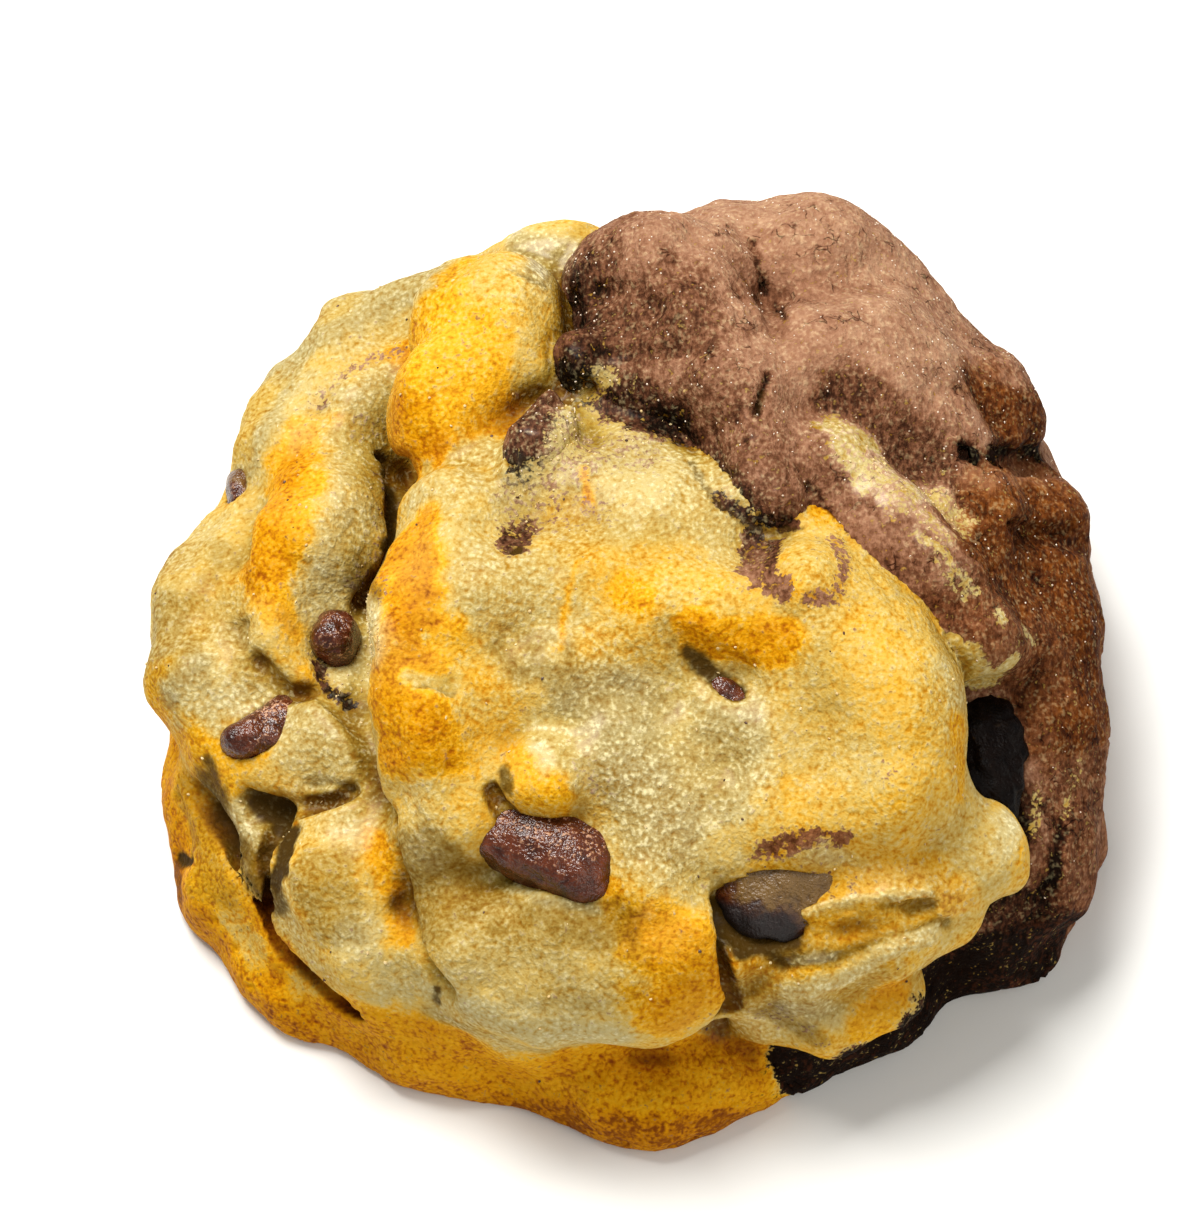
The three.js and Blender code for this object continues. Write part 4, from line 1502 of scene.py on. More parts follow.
# The orange crest beside the cocoa hump.
CREST_STROKES: Mapping[str, Stroke] = {
    "gold_crest": lay(((495, 330), (445, 380), (430, 440)), 9.5, brown=0.6),
    "pale_right_side": lay(((500, 275), (548, 310), (540, 360)), 4, brown=0.38),
    "orange_left_foot": lay(((398, 410), (398, 450), (430, 455)), 3, brown=0.8),
    "buttery_front": lay(((465, 458), (505, 448), (545, 425)), 2.2, brown=0.12, grease=0.35),
    "orange_left_side": lay(((415, 330), (400, 380)), 2.4, 0.8, brown=0.68),
    "pale_right_edge": lay(((566, 300), (572, 330), (560, 365), (530, 395)), 1.4, brown=0.12),
    "pale_front": lay(((425, 490), (470, 480), (510, 485)), 2.6, brown=0.16, grease=0.2),
    "pale_nook": lay(((540, 400), (560, 385)), 1.4, 0.8, brown=0.2),
    "gold_left_shoulder": lay(((450, 275), (432, 305), (420, 340)), 1.6, 0.7, brown=0.62),
}


# The plateau's left side, its orange edge and the bead by the front chip.
CLIFF_STROKES: Mapping[str, Stroke] = {
    "pale_top": lay(((420, 488), (445, 500), (470, 540)), 3.6, brown=0.22),
    "orange_edge": lay(((410, 540), (420, 580), (410, 620), (395, 660)), 3.6, brown=0.84, umber=0.12),
    "orange_upper_side": lay(((445, 600), (432, 650)), 3, 0.8, brown=0.84, umber=0.1),
    "orange_lower_side": lay(((385, 695), (398, 725), (402, 755), (425, 775), (440, 740)), 3.8, brown=0.8),
    "gold_inner_side": lay(((480, 640), (500, 680), (480, 720)), 4, 0.9, brown=0.5),
    "pale_hollow": lay(((490, 560), (525, 590), (560, 620)), 5, brown=0.22),
    "crack_lip": lay(((408, 676), (450, 688)), 0.9, 0.8, brown=0.15, height=0.15),
    "crack": lay(((408, 684), (430, 686), (455, 694)), 0.4, umber=0.5, height=-0.3),
    "gold_foot": lay(((445, 800), (430, 835)), 3, brown=0.42),
    "gold_bead": lay(((522, 755), (536, 782), (556, 792)), 2.3, brown=0.6),
    "buttery_bead_side": lay(((545, 742), (565, 757), (590, 745)), 2, brown=0.16, grease=0.5, umber=0.3),
    "bead_shade": lay(((502, 772), (508, 788)), 0.9, umber=0.7),
}


# The broad top of the pale dough, its bowl, slot and right shoulder.
PLATEAU_STROKES: Mapping[str, Stroke] = {
    "bowl_shade": lay(((545, 640), (580, 665), (620, 705)), 6, brown=0.26, grease=0.2, umber=0.5),
    "bowl_back": lay(((480, 590), (520, 575), (560, 600)), 3.6, brown=0.16, grease=0.1, umber=0),
    "pale_middle": lay(((610, 480), (660, 495), (700, 515), (730, 540)), 3.8, brown=0.12, grease=0.2),
    "buttery_seam": lay(
        ((545, 445), (590, 400), (640, 440), (700, 480), (735, 515)), 4.4, brown=0.1, grease=0.4,
    ),
    "smeared_seam": lay(
        ((525, 490), (560, 475), (600, 445), (640, 455)),
        3, brown=0.04, cocoa=0.36, grease=0.35, crumbs=0.3, umber=0.3,
    ),
    # Cocoa smear, with painted shade along the seam.
    "seam_smear_and_shade": lay(((520, 500), (550, 520), (590, 505)), 2.8, 0.9, brown=0.12, cocoa=0.3, umber=0.36),
    "seam_crumbs": lay(((560, 430), (600, 385), (625, 395)), 1.8, brown=0, cocoa=0.3, grease=0.5, crumbs=0.6),
    "seam_gold": lay(((560, 510), (590, 520)), 2.4, 0.8, brown=0.34, umber=0.25),
    "cocoa_spot": lay(((515, 535), (512, 545)), 2, cocoa=0.85, dark=0.6),
    "cocoa_spot_core": lay(((520, 548), (516, 551)), 0.7, umber=0.9, height=-0.3),
    "upper_thread": lay(((583, 468), (590, 500), (602, 532)), 0.45, 0.8, brown=0.95),
    "lower_thread": lay(((578, 560), (566, 600), (560, 650)), 0.4, 0.7, brown=0.85),
    "pale_band": lay(((620, 520), (680, 530), (725, 555)), 3.2, brown=0.16),
    "gold_band": lay(((610, 580), (650, 565), (705, 575), (745, 600)), 3.6, brown=0.44, umber=0.24),
    "gold_band_end": lay(((622, 592), (640, 596)), 2, 0.8, brown=0.68),
    "orange_ridge": lay(((690, 632), (740, 648), (785, 640)), 2.5, brown=0.78),
    "ridge_gold": lay(((600, 640), (650, 655)), 2.6, 0.8, brown=0.48, umber=0.12),
    "grey_hollow": lay(
        ((640, 770), (700, 790), (725, 745), (665, 825)), 6, brown=0.12, grease=0.65, umber=0.44,
    ),
    "hollow_gold": lay(((690, 760), (710, 785)), 2.4, 0.7, brown=0.36),
    "buttery_hollow": lay(((575, 725), (640, 745), (620, 780)), 3.6, brown=0.03, grease=0.65),
    "hollow_smear": lay(((588, 765), (602, 792)), 1.6, 0.8, cocoa=0.35),
    "hollow_edge": lay(((605, 690), (650, 700)), 3, brown=0.16, grease=0.45),
    "slot_shade": lay(((678, 644), (704, 666), (734, 686)), 1.7, 0.9, umber=0.5),
    "slot_core": lay(((688, 652), (714, 676), (736, 690)), 0.9, umber=0.9),
    "slot_lip": lay(((700, 700), (740, 715)), 1.6, 0.8, brown=0.08, grease=0.3),
    "gold_shoulder_back": lay(((850, 560), (875, 620), (905, 660), (935, 690)), 5, brown=0.38),
    "gold_shoulder": lay(((870, 650), (895, 710), (925, 760)), 4.6, brown=0.46),
    "pale_shoulder_edge": lay(((950, 670), (958, 700)), 1.8, brown=0.22),
    "gold_shoulder_edge": lay(((958, 730), (962, 790)), 1.8, brown=0.6),
    "shoulder_slope": lay(((800, 700), (830, 760)), 4, 0.8, brown=0.34, grease=0.15),
    "gold_front_slope": lay(((800, 805), (850, 825), (900, 850)), 4, 0.9, brown=0.46, umber=0.12),
    "shoulder_smear": lay(((880, 770), (905, 765)), 1.2, 0.6, cocoa=0.3),
    "blob_gold": lay(((805, 560), (812, 552)), 2.6, brown=0.38),
    "blob_smear": lay(((752, 540), (755, 572), (782, 590)), 1.4, cocoa=0.92, dark=0.35),
    "blob_smear_core": lay(((775, 545), (768, 570)), 0.9, cocoa=0.9, dark=0.6),
    "blob_ring": lay(((835, 540), (846, 565), (836, 595), (808, 600)), 0.9, 0.9, cocoa=0.75),
    "blob_tint": lay(((845, 600), (860, 640)), 1.6, 0.5, cocoa=0.2),
}


# The folds in front: the apron, the tongue, the big fold and the strands beside it.
FRONT_STROKES: Mapping[str, Stroke] = {
    "apron_cream": lay(((330, 735), (360, 752), (312, 765)), 4, brown=0.14, grease=0.42),
    "tongue_back_gold": lay(((262, 782), (292, 792)), 2.4, brown=0.42),
    "apron_crack": lay(((312, 786), (330, 783), (352, 789)), 0.5, umber=0.7, height=-0.5),
    "apron_lip": lay(((340, 800), (385, 795)), 1.3, 0.7, brown=0.1),
    "tongue_gap_shade": lay(((214, 786), (230, 818), (250, 852), (275, 895)), 3.2, umber=0.74),
    "tongue_gap": lay(((258, 806), (288, 812), (284, 840), (274, 876)), 1.6, umber=1, height=-0.5),
    "gap_crumb": lay(((240, 815), (258, 838)), 1.6, 0.8, brown=0, grease=0.6, umber=0.3),
    "cheek_fold_shade": lay(((228, 612), (246, 640), (262, 668)), 3, 0.8, brown=0.3, umber=0.42),
    "apron_shade": lay(((310, 725), (350, 745), (330, 770)), 4.2, 0.9, brown=0.14, grease=0.3, umber=0.36),
    "tongue_side_spot": lay(((262, 865), (270, 885)), 1.3, 0.8, umber=0.62),
    "tongue_foot_shade": lay(((255, 900), (290, 945), (340, 975)), 1.8, 0.8, umber=0.35),
    "buttery_tongue_top": lay(((335, 825), (355, 822)), 2.6, brown=0.26, grease=0.45),
    "gold_tongue": lay(((318, 870), (335, 920)), 4.4, brown=0.42, umber=0.5),
    "pale_tongue_end": lay(((365, 945), (400, 972), (425, 985)), 3.2, brown=0.12),
    "gold_tongue_edge": lay(((380, 845), (395, 890), (402, 935)), 1.7, brown=0.62, umber=0.12),
    "tongue_slit": lay(((436, 992), (436, 1003)), 0.7, 0.9, umber=0.8, height=-0.3),
    "big_fold_shade": lay(((425, 860), (440, 900), (510, 935), (600, 940)), 5.6, brown=0.4, umber=0.58),
    "big_fold_front": lay(((470, 960), (560, 985), (620, 990)), 4, brown=0.26, umber=0.4),
    "big_fold_lip": lay(((465, 1008), (530, 1030), (610, 1036)), 2.4, brown=0.08),
    "big_fold_left": lay(((418, 800), (425, 850)), 2.4, brown=0.34, grease=0.25),
    "big_fold_light": lay(((490, 878), (540, 896), (600, 908)), 0.8, brown=0),
    "gold_fold_middle": lay(((620, 900), (645, 925)), 2.6, brown=0.58),
    "orange_fold_end": lay(((655, 935), (690, 955), (702, 990), (668, 1012)), 4, brown=0.76),
    "fold_end_edge": lay(((722, 925), (728, 985)), 1.1, brown=0.3),
    "pale_fold_top": lay(((640, 850), (690, 870)), 3.6, 0.8, brown=0.18),
    "chocolate_smear": lay(
        ((765, 850), (800, 840), (845, 838)), 1.2, cocoa=0.8, caramel=0.5, dark=0.34, umber=0.2,
    ),
    "smear_shade": lay(((720, 880), (750, 862), (765, 852)), 1, 0.8, umber=0.6),
    "pocket_top": lay(((800, 858), (830, 868), (855, 880)), 2.2, 0.9, brown=0.3, grease=0.4, umber=0.42),
    "pocket_floor": lay(((722, 905), (745, 920), (790, 900)), 2.4, umber=0.62, grease=0.6),
    "pocket_butter": lay(((820, 860), (845, 875)), 2, brown=0.24, grease=0.9, cocoa=0.2),
    "pocket_front": lay(((722, 932), (760, 940), (790, 925)), 1.9, umber=0.8),
    "right_tongue_tint": lay(((975, 838), (990, 868)), 3, brown=0.22),
    "right_tongue_light": lay(((1008, 820), (1006, 850)), 1.3, brown=0.05, grease=0.7),
    "strand_bed": lay(
        ((780, 900), (850, 905), (930, 900), (860, 950), (790, 960)), 4.6, brown=0.52, grease=0, umber=0.36,
    ),
    "lip_shade": lay(((750, 1000), (820, 1005), (870, 980)), 3.4, brown=0.42, grease=0.1, umber=0.46),
    "strand_gold": lay(((870, 880), (920, 885), (960, 900)), 2, brown=0.56, grease=0.3),
    # Thin painted highlights along the strands, with painted shade in the gaps between them.
    "upper_strand_highlight": lay(
        ((800, 912), (860, 898), (930, 893)), 0.4, 0.8, brown=0.2, grease=0.9, umber=0, height=0.35,
    ),
    "upper_strand_gap": lay(((790, 930), (850, 912), (930, 905)), 0.8, umber=0.62, height=-0.5),
    "lower_strand_highlight": lay(((790, 962), (835, 958)), 0.5, 0.9, brown=0.1, grease=0.9, umber=0, height=0.3),
    "lower_strand_gap": lay(((780, 965), (850, 955), (900, 938), (950, 925)), 0.8, umber=0.62, height=-0.5),
    "lower_strand_edge": lay(
        ((790, 990), (835, 982), (880, 955), (930, 935)),
        1.2, 0.8, brown=0.12, grease=0.6, umber=0.1, height=0.25,
    ),
    "lip_light": lay(((790, 1010), (830, 1015)), 1.8, brown=0.18, grease=0.4),
    "gold_lip_end": lay(((892, 985), (882, 1010), (868, 1030)), 2.3, brown=0.64, umber=0.15),
}


# The browned foot in front and on the left, and painted shade on the cocoa foot at the lower right.
FOOT_EDGE = (
    (165, 800), (175, 870), (200, 940), (250, 1000), (320, 1050), (400, 1080), (480, 1104),
)
FOOT_FACE = (
    (210, 900), (250, 950), (310, 1000), (400, 1035), (500, 1065), (600, 1090),
)
FOOT_STROKES: Mapping[str, Stroke] = {
    "gold_face": lay(FOOT_FACE, 4.2, brown=0.76, umber=0.22),
    "orange_edge": lay(FOOT_EDGE, 2.4, brown=0.84, umber=0.22),
    "pale_left_patch": lay(((232, 920), (262, 952)), 2, 0.8, brown=0.36),
    "pale_front_patch": lay(((300, 982), (352, 978)), 2, 0.8, brown=0.38, umber=0.3),
    "left_shade": lay(((185, 790), (195, 840), (220, 890)), 3, 0.9, brown=0.6, umber=0.52),
    "fold_shadow": lay(((430, 1012), (520, 1047), (600, 1058)), 1.4, 0.9, umber=0.45),
    "burnt_left_edge": lay(((168, 850), (180, 892)), 1.6, brown=1, umber=0.45),
    "left_pit": lay(((178, 858), (190, 862)), 0.6, umber=1, height=-0.4),
    "burnt_front_edge": lay(((560, 1112), (640, 1132), (730, 1122)), 3, brown=0.96, umber=0.2),
    "gold_front": lay(((560, 1075), (640, 1086), (755, 1080)), 3.4, brown=0.74, umber=0),
    "pale_right_top": lay(((720, 1022), (760, 1032)), 2.4, brown=0.3, grease=0.3),
    "right_shade": lay(((700, 1055), (755, 1062)), 2.2, brown=0.74, umber=0.3),
    "cocoa_crumbling": lay(((772, 1012), (800, 1030), (822, 1042)), 1.6, 0.8, umber=0.62, cocoa=0.3),
    # Near black cocoa along the lower right edge: painted shade.
    "shadowed_cocoa_edge": lay(
        ((790, 1060), (835, 1058), (882, 1044), (922, 1010), (932, 985)), 2.1, cocoa=1, dark=1, brown=0,
    ),
    "shadowed_cocoa_corner": lay(((784, 1050), (792, 1088)), 1.4, cocoa=1, dark=1, brown=0),
}


# The cocoa dough: its dusty back, lighter also as painted light, dark hump, browned side, darker also as
# painted shade, and pale smears, with painted shade in its creases and on its lower right foot.
COCOA_STROKES: Mapping[str, Stroke] = {
    # Lighter on the top at the back: dust, and painted light where the top faces the lamps.
    "dusty_lit_back": lay(((760, 215), (820, 240), (870, 290), (910, 340), (820, 330)), 12, dark=0.12),
    "dark_hump_left": lay(((590, 270), (585, 300), (600, 338)), 3.4, dark=0.6),
    # Among these, the thin dark lines along folds, creases and pits are painted shade.
    "hump_fold": lay(((578, 346), (610, 356), (660, 353), (705, 350)), 0.7, 0.8, dark=0.8, height=-0.4),
    "hump_top": lay(((640, 300), (680, 280), (690, 320)), 4, 0.7, dark=0.46),
    "finger_root": lay(((700, 400), (750, 440), (770, 500)), 5, 0.8, dark=0.42),
    "finger_shadow": lay(
        ((692, 462), (712, 497), (742, 522), (768, 534), (802, 528)), 0.6, umber=0.6, height=-0.25,
    ),
    "seam_edge": lay(((720, 498), (750, 520), (790, 524)), 1, 0.9, cocoa=1, dark=0.72),
    "back_crease": lay(((752, 240), (765, 290), (785, 318)), 0.45, 0.7, dark=0.75, height=-0.3),
    "hump_crease": lay(((742, 385), (736, 420), (750, 450)), 0.35, 0.6, dark=0.7, height=-0.3),
    "finger_crease": lay(((712, 420), (716, 450), (728, 478)), 0.4, 0.6, dark=0.75, height=-0.3),
    "finger_pit": lay(((768, 375), (762, 395), (758, 410)), 0.5, 0.9, dark=0.9, height=-0.45),
    "strip_crease": lay(((800, 470), (850, 545), (900, 610)), 0.4, 0.7, dark=0.7, height=-0.25),
    "dark_finger_side": lay(((695, 455), (725, 500), (755, 525)), 1.5, 0.9, dark=0.74),
    "dark_hump_front": lay(((640, 330), (690, 320)), 4.4, 0.8, dark=0.54),
    "moist_nub": lay(((580, 372), (572, 380)), 3, dark=0.85),
    "moist_spot_bed": lay(
        ((622, 404), (648, 412), (676, 424)), 3, cocoa=1, dark=0.54, grease=0, umber=0, crumbs=0.1,
    ),
    "moist_spot": lay(((628, 398), (650, 405), (672, 418)), 2.6, 0.9, dark=0.72, grease=0.1),
    "tail_tint": lay(((535, 415), (525, 455)), 2.4, dark=0.62),
    "tail_end": lay(((522, 465), (516, 472)), 1.6, dark=0.95, umber=0.4),
    "dark_strip_top": lay(((840, 395), (870, 400)), 3, 0.8, dark=0.66),
    "dark_finger_tip": lay(((700, 470), (730, 500)), 2, 0.8, dark=0.68),
    "finger_pit_core": lay(((766, 390), (760, 410)), 0.6, umber=0.5, height=-0.3),
    "strip_back": lay(((900, 430), (945, 465)), 3.4, 0.9, dark=0.5),
    # The right side: darker and warmer, partly its browned crust and partly painted shade on the side turned
    # from the light; its dark crevices and nicks are painted shade.
    "side_ridge": lay(((985, 480), (1030, 478), (1060, 490)), 2.6, dark=0.2, caramel=0.5),
    "browned_shaded_cheek": lay(((985, 405), (1015, 420), (1030, 430)), 4.6, dark=0.48, caramel=0.8),
    "cheek_crevice": lay(
        ((968, 450), (990, 462), (1020, 458), (1042, 450)), 1.1, dark=1, caramel=0.3, height=-0.5,
    ),
    "browned_shaded_side_top": lay(((1000, 500), (1070, 510)), 3.4, dark=0.36, caramel=0.85),
    "side_ridge_crown": lay(((985, 476), (1030, 474), (1055, 486)), 2, dark=0.16, caramel=0.5),
    "side_nick": lay(((962, 514), (990, 518)), 1.2, 0.9, dark=0.9, height=-0.3),
    "side_crevice": lay(((1022, 530), (1045, 533), (1070, 528)), 0.7, dark=1, height=-0.6),
    "browned_shaded_side": lay(((1000, 570), (1080, 560), (1070, 640), (1085, 700)), 8, dark=0.48, caramel=0.85),
    "browned_shaded_edge": lay(((1088, 600), (1092, 680)), 3, 0.8, dark=0.6, caramel=1),
    "browned_shaded_inner_side": lay(((990, 620), (1040, 680)), 5, 0.8, dark=0.44, caramel=0.6),
    "vanilla_top": lay(
        ((828, 425), (850, 432), (872, 445)), 1.8, cocoa=0.32, dark=0, brown=0, grease=0.8, crumbs=0.2,
    ),
    "vanilla_upper": lay(
        ((842, 445), (858, 462), (868, 478)), 1.8, 0.95, cocoa=0.3, dark=0, brown=0, grease=0.7, crumbs=0.2,
    ),
    "vanilla_lower": lay(
        ((880, 470), (905, 485), (935, 500), (955, 520)),
        1.9, 0.95, cocoa=0.44, dark=0, grease=0.8, crumbs=0.3,
    ),
    "vanilla_thin": lay(
        ((885, 495), (915, 508), (945, 535)), 1.3, 0.9, cocoa=0.5, dark=0.05, grease=0.8, crumbs=0.2,
    ),
    "vanilla_thread_long": lay(((915, 530), (945, 555), (975, 592)), 0.6, 0.8, cocoa=0.25, grease=0.4),
    "vanilla_thread_short": lay(((935, 560), (965, 600)), 0.5, 0.7, cocoa=0.35),
    "vanilla_speck_upper": lay(((1000, 612), (1003, 620)), 0.8, cocoa=0.1, brown=0.1),
    "vanilla_speck_lower": lay(((1025, 632), (1032, 640)), 0.8, 0.7, cocoa=0.2, brown=0.1),
    "vanilla_edge": lay(((955, 648), (985, 680), (1008, 664)), 1.7, cocoa=0, brown=0.15),
    "purple_side": lay(((1080, 800), (1092, 860), (1065, 900)), 5, dark=0.46, caramel=0.3),
    "dark_by_chunk": lay(((1000, 770), (1022, 805), (1015, 850)), 2.2, dark=0.72),
    "pale_streak_left": lay(((1040, 790), (1035, 832)), 0.8, 0.6, cocoa=0.35, brown=0.2),
    "pale_streak_right": lay(((1082, 758), (1066, 812)), 0.8, 0.6, cocoa=0.35, brown=0.2),
    # Painted shade in the side crack and on the lower right foot, turned from the light.
    "side_crack": lay(((1062, 830), (1055, 870), (1040, 912)), 0.8, dark=0.9, height=-0.4),
    "shadowed_foot": lay(((800, 1078), (860, 1055), (920, 1015), (980, 970), (1040, 948)), 6, dark=1),
    "shadowed_foot_top": lay(((1000, 905), (1060, 930)), 3, 0.9, dark=0.8),
}


# Bloom on the chocolate, painted glints on the front chip, dough drawn over the chips, and painted shade in
# their pockets.
CHIP_STROKES: Mapping[str, Stroke] = {
    # Bloom specks, and painted glints along the chip's upper ridge.
    "front_chip_bloom_and_glints": lay(((490, 805), (540, 822), (592, 846)), 1.6, bloom=0.7),
    "front_chip_gloss": lay(((480, 850), (530, 880), (580, 895)), 1.4, bloom=0.1),
    "right_chip_film": lay(((770, 872), (835, 866), (845, 895), (760, 905)), 3.6, 0.9, film=0.95, umber=0.35),
    "right_chip_top": lay(((765, 838), (800, 832), (840, 836)), 1.2, film=0.1),
    # Painted shade on the chip's front, down in its pocket.
    "right_chip_shaded_front": lay(((722, 918), (755, 935), (785, 932)), 2.4, film=0, umber=1),
    "right_chip_gloss": lay(((765, 880), (745, 905)), 2, bloom=0),
    "cheek_chip_bloom": lay(((258, 706), (298, 712)), 1.6, bloom=0.85),
    "cheek_chip_gloss": lay(((228, 760), (238, 735)), 1.6, bloom=0),
    "valley_chip_bloom_top": lay(((345, 618), (352, 630)), 1.2, bloom=0.6),
    "valley_chip_bloom_foot": lay(((335, 655), (352, 650)), 1, bloom=0.9),
    "rim_chip_film": lay(((225, 470), (245, 500)), 3, 0.8, film=0.75),
    "rim_chip_gloss": lay(((232, 490), (246, 500)), 0.8, film=0),
    "slot_chip_film": lay(((720, 680), (775, 715)), 4, bloom=0.25, film=0.2),
    "chunk_gloss": lay(((985, 700), (1000, 800)), 6, bloom=0),
}


# All of them, in the order in which they are laid.
STROKES: Sequence[Stroke] = [
    *RIM_STROKES.values(), *LEFT_STROKES.values(), *CREST_STROKES.values(), *CLIFF_STROKES.values(),
    *PLATEAU_STROKES.values(), *FRONT_STROKES.values(), *FOOT_STROKES.values(), *COCOA_STROKES.values(),
    *CHIP_STROKES.values(),
]


# -------------------- pieces


def dress(piece: bpy.types.Object, slot: str, material: bpy.types.Material, node: str | None = None) -> None:
    """Gives a piece its material and its place in the frame, and reports it.

    Args:
        piece: The piece.
        slot: Not used.
        material: What it is made of.
        node: The node that it stands for, if any.
    """
    piece.data.materials.append(material)
    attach(piece, BODY)
    if node is not None:
        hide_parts(node)
    log.info("%s: %d faces", piece.name, len(piece.data.polygons))


@dataclass
class ChipPiece:
    """A chocolate piece as it shows: lumpy and worn.

    Attributes:
        name: Its node's name.
        drop: Its form.
        slot: The slot that it takes its finish from.
        lumps: Heights of its slow, middle and fine unevenness in millimetres.
        widths: Millimetres across each of them.
        bloomed: How far bloom covers its upper side.
        rounds: How many times its first twenty faces are parted in four.
    """

    name: str
    drop: Drop
    slot: str = "chocolate"
    lumps: Place = (0.55, 0.28, 0.10)
    widths: Place = (3.2, 1.5, 0.7)
    bloomed: float = 0.5
    rounds: int = 4

    def skin(self) -> Skin:
        """Its closed mesh."""
        shell = bmesh.new()
        bmesh.ops.create_icosphere(shell, subdivisions=self.rounds + 1, radius=1.0)
        ways = np.array([v.co for v in shell.verts])
        faces = np.array([[v.index for v in f.verts] for f in shell.faces])
        shell.free()
        points = self.drop.shaped(ways)
        outward = points - np.array(self.drop.place)
        outward /= np.linalg.norm(outward, axis=1)[:, None]
        waves = zip(self.lumps, self.widths, (31, 32, 34))
        raised = sum(height * noise(points, width, seed) for height, width, seed in waves)
        skin = Skin(points + outward * raised[:, None], faces, outward)
        upper = smoothstep(0.1, 0.9, outward[:, 2] + 0.4 * noise(points, 2.0, 33))
        skin.coats[Coat.BLOOM] = self.bloomed * upper
        skin.coats[Coat.FILM] = np.zeros(len(points))
        skin.coats[Coat.PAINTED_SHADE] = np.zeros(len(points))
        return skin

    def build(self, skin: Skin, painter: Painter, material: bpy.types.Material, shift: np.ndarray) -> None:
        """Paints its skin and dresses it.

        Args:
            skin: Its skin.
            painter: Lays the strokes.
            material: What it is made of.
            shift: From the baker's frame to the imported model's, in millimetres.
        """
        painter.paint(skin, [s for s in STROKES if Coat.BLOOM in s.levels or Coat.FILM in s.levels])
        dress(mesh_object(f"{self.name}_melted", skin, shift), self.slot, material, self.name)


@dataclass(frozen=True)
class Scatter:
    """Loose bits strewn over a skin by Geometry Nodes.

    Attributes:
        coat: The skin's number that says how thickly they lie.
        slot: A slot name, passed along when they are dressed.
        finish: How they look.
        density: How many lie on a square millimetre where that number is 1.
        smallest: Least width of a bit in millimetres.
        largest: Greatest width of a bit in millimetres.
        seed: Which strewing.
    """

    coat: Coat
    slot: str
    finish: BitFinish
    density: float
    smallest: float
    largest: float
    seed: int

    def tree(self, material: bpy.types.Material) -> bpy.types.NodeTree:
        """The node tree that strews them."""
        tree = bpy.data.node_groups.new(f"strew_{self.coat.value}", "GeometryNodeTree")
        tree.interface.new_socket("Bits", in_out="OUTPUT", socket_type="NodeSocketGeometry")
        tree.interface.new_socket("Ground", in_out="INPUT", socket_type="NodeSocketGeometry")
        for label in ("Density", "Smallest", "Largest"):
            tree.interface.new_socket(label, in_out="INPUT", socket_type="NodeSocketFloat")
        tree.interface.new_socket("Seed", in_out="INPUT", socket_type="NodeSocketInt")
        graph = Graph(tree)
        given = graph.node("NodeGroupInput").outputs
        named = {"Name": self.coat.value}
        thick = graph.node("GeometryNodeInputNamedAttribute", {"data_type": "FLOAT"}, named)
        density = Number(graph, thick.outputs["Attribute"]) * Wire(graph, given["Density"])
        ground = {"Mesh": given["Ground"], "Density": density, "Seed": given["Seed"]}
        spots = graph.node("GeometryNodeDistributePointsOnFaces", inputs=ground)
        bit = graph.node("GeometryNodeMeshIcoSphere", inputs={"Radius": 0.5, "Subdivisions": 1})
        limits = {"Min": given["Smallest"], "Max": given["Largest"], "Seed": given["Seed"]}
        width = graph.node("FunctionNodeRandomValue", {"data_type": "FLOAT_VECTOR"}, limits)
        circle = {"Min": (0.0, 0.0, 0.0), "Max": (math.tau, math.tau, math.tau), "Seed": given["Seed"]}
        turn = graph.node("FunctionNodeRandomValue", {"data_type": "FLOAT_VECTOR"}, circle)
        placed = {
            "Points": spots.outputs["Points"], "Instance": bit.outputs["Mesh"],
            "Rotation": turn.outputs[0], "Scale": width.outputs[0],
        }
        strewn = graph.node("GeometryNodeInstanceOnPoints", inputs=placed)
        real = graph.node("GeometryNodeRealizeInstances", inputs={0: strewn.outputs[0]})
        last = {"Geometry": real.outputs[0], "Material": material}
        dressed = graph.node("GeometryNodeSetMaterial", inputs=last)
        graph.node("NodeGroupOutput", inputs={0: dressed.outputs[0]})
        return tree

    def strew(self, name: str, ground: bpy.types.Object, material: bpy.types.Material) -> bpy.types.Object:
        """Strews the bits.

        Args:
            name: The new piece's name.
            ground: The object that they lie on.
            material: What they are made of.

        Returns:
            The bits as one plain mesh.
        """
        modifier = ground.modifiers.new("strew", "NODES")
        modifier.node_group = self.tree(material)
        settings = {
            "Density": self.density / MM**2, "Smallest": self.smallest * MM,
            "Largest": self.largest * MM, "Seed": self.seed,
        }
        for item in modifier.node_group.interface.items_tree:
            if item.in_out == "INPUT" and item.name in settings:
                modifier[item.identifier] = settings[item.name]
        graph = bpy.context.evaluated_depsgraph_get()
        mesh = bpy.data.meshes.new_from_object(ground.evaluated_get(graph), depsgraph=graph)
        ground.modifiers.remove(modifier)
        mesh.materials.clear()
        made = bpy.data.objects.new(name, mesh)
        bpy.context.scene.collection.objects.link(made)
        return made


SUGAR = Scatter(
    Coat.SUGAR, "pale_dough", BitFinish((190, 160, 132), (240, 226, 206), 0.4),
    density=0.9, smallest=0.08, largest=0.26, seed=3,
)
CRUMBS = Scatter(
    Coat.CRUMBS, "pale_dough", BitFinish((190, 156, 92), (226, 206, 156), 0.7),
    density=1.6, smallest=0.10, largest=0.42, seed=4,
)
FLECKS = Scatter(
    Coat.FLECKS, "chocolate", BitFinish((44, 22, 12), (104, 66, 42), 0.45),
    density=1.2, smallest=0.12, largest=0.42, seed=5,
)


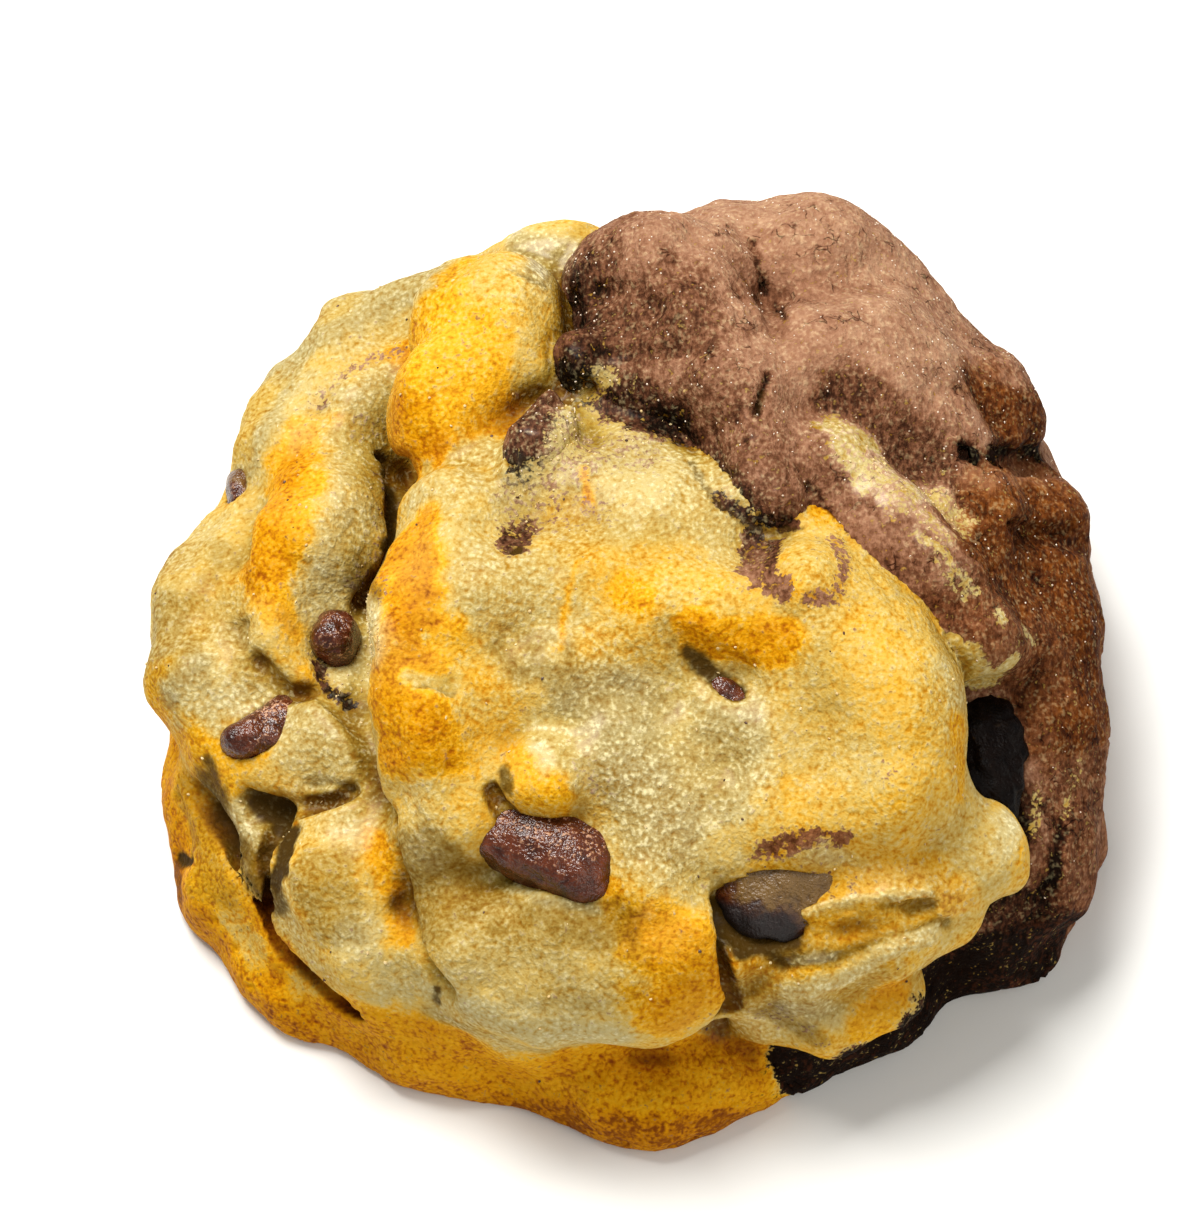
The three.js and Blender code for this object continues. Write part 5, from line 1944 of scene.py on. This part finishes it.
@dataclass
class DoughPiece:
    """One of the doughs as it shows: raised, dressed, and strewn with what lies on it.

    Attributes:
        name: Its node, which also names its mesh and its material.
        share: Its distances as it lies.
        cell: Side of its mesh's cells in millimetres.
        cocoa: 1 for cocoa dough, 0 for pale.
        toppings: What lies on it.
        crumb: Its relief.
    """

    name: str
    share: Distance
    cell: float
    cocoa: float
    toppings: Sequence[Scatter]
    crumb: Crumb = field(default_factory=Crumb)

    def skin(self) -> Skin:
        """Its closed mesh, still smooth."""
        return Skinner(self.cell).skin(self.share)

    def build(
        self, skin: Skin, coater: Coater, looks: Mapping[Coat, bpy.types.Material], shift: np.ndarray
    ) -> None:
        """Coats its skin, raises its relief, strews it and dresses it.

        Args:
            skin: Its skin.
            coater: Works out what covers it.
            looks: The material of each kind of bit.
            shift: From the baker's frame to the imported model's, in millimetres.
        """
        coater.coat(skin, self.cocoa, STROKES)
        coater.shape(skin, self.crumb)
        shown = mesh_object(f"{self.name}_baked", skin, shift)
        for scatter in self.toppings:
            material = looks[scatter.coat]
            bits = scatter.strew(f"{self.name}_{scatter.coat.value}", shown, material)
            dress(bits, scatter.slot, material)
        dress(shown, self.name, DoughFinish(cracked=self.cocoa > 0.5).material(self.name), self.name)


# -------------------- the stage


@dataclass(frozen=True)
class Lamp:
    """An area light aimed at the cookie.

    Attributes:
        name: Its name.
        place: Where it hangs, in metres.
        size: Side of its square, in metres.
        power: Its power in watts.
        tint: The colour of its light.
    """

    name: str
    place: Place
    size: float
    power: float
    tint: Place

    def hang(self, aim: Place) -> None:
        """Hangs it, aimed at a point."""
        lamp = bpy.data.lights.new(self.name, "AREA")
        lamp.size = self.size
        lamp.energy = self.power
        lamp.color = self.tint
        held = bpy.data.objects.new(self.name, lamp)
        bpy.context.scene.collection.objects.link(held)
        held.location = self.place
        held.rotation_euler = (Vector(aim) - Vector(self.place)).to_track_quat("-Z", "Y").to_euler()


@dataclass(frozen=True)
class Stage:
    """The pale floor, the studio lights and the camera.

    Attributes:
        floor_size: Side of the floor in metres.
        floor_hue: Its colour.
        lamps: The lights.
        aim: The point that they are aimed at.
        sky: How bright the white surroundings are.
    """

    floor_size: float = 1.6
    floor_hue: Hue = (240, 240, 238)
    lamps: Sequence[Lamp] = (
        Lamp("key", (-0.14, 0.19, 0.50), 0.28, 4.6, (1.0, 0.985, 0.95)),
        Lamp("fill", (0.26, -0.28, 0.34), 0.45, 1.0, (1.0, 0.95, 0.86)),
    )
    aim: Place = (0.0, 0.0, 0.02)
    sky: float = 0.30

    def build(self, view: View, shift: np.ndarray) -> None:
        """Makes the floor, the lights and the camera."""
        half = self.floor_size / 2
        corners = [(-half, -half, 0), (half, -half, 0), (half, half, 0), (-half, half, 0)]
        mesh = bpy.data.meshes.new("floor")
        mesh.from_pydata(corners, [], [(0, 1, 2, 3)])
        floor = bpy.data.objects.new("floor", mesh)
        bpy.context.scene.collection.objects.link(floor)
        made, graph = new_material("floor")
        graph.surface({"Base Color": linear(self.floor_hue), "Roughness": 0.9})
        mesh.materials.append(made)
        for lamp in self.lamps:
            lamp.hang(self.aim)
        world = bpy.data.worlds.new("studio")
        bpy.context.scene.world = world
        world.use_nodes = True
        background = world.node_tree.nodes["Background"]
        background.inputs["Color"].default_value = (1.0, 1.0, 1.0, 1.0)
        background.inputs["Strength"].default_value = self.sky
        view.camera(shift)
        bpy.context.scene.view_settings.view_transform = "Standard"


# -------------------- building it all


def chip_pieces() -> dict[str, ChipPiece]:
    """Every chocolate piece by name, the dark chunk rougher than the chips."""
    pieces = {name: ChipPiece(name, drop) for name, drop in CHIPS.items()}
    pieces[CHUNK] = ChipPiece(CHUNK, CHIPS[CHUNK], "dark_chocolate", lumps=(0.6, 0.6, 0.35))
    return pieces


def main() -> None:
    """Builds the stage, the doughs and the chocolate."""
    logging.basicConfig(level=logging.INFO, format="%(name)s: %(message)s")
    low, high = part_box("chip_rim")
    shift = np.array((low + high) / 2) / MM - np.array(RIM_CHIP)
    view = View()
    Stage().build(view, shift)
    baked = Baked(pale_dough(), cocoa_dough(), CHIPS)
    doughs = (
        DoughPiece("pale_dough", baked.pale_share, PALE_CELL, 0.0, (CRUMBS, FLECKS)),
        DoughPiece("cocoa_dough", baked.cocoa_share, COCOA_CELL, 1.0, (SUGAR, CRUMBS)),
    )
    dough_skins = [dough.skin() for dough in doughs]
    chips = chip_pieces()
    chip_skins = [chip.skin() for chip in chips.values()]
    painter = Painter(view, [*dough_skins, *chip_skins])
    coater = Coater(painter, Air(baked.whole))
    looks = {scatter.coat: scatter.finish.material(scatter.coat.value) for scatter in (SUGAR, CRUMBS, FLECKS)}
    for dough, skin in zip(doughs, dough_skins):
        dough.build(skin, coater, looks, shift)
    rough_finish = ChocolateFinish((3, 1, 1), (15, 6, 3), (90, 70, 56), roughness=0.5, shine=0.08)
    finishes = {"chocolate": ChocolateFinish(), "dark_chocolate": rough_finish}
    chocolate = {slot: finish.material(slot) for slot, finish in finishes.items()}
    for chip, skin in zip(chips.values(), chip_skins):
        chip.build(skin, painter, chocolate[chip.slot], shift)


if __name__ == "__main__":
    main()
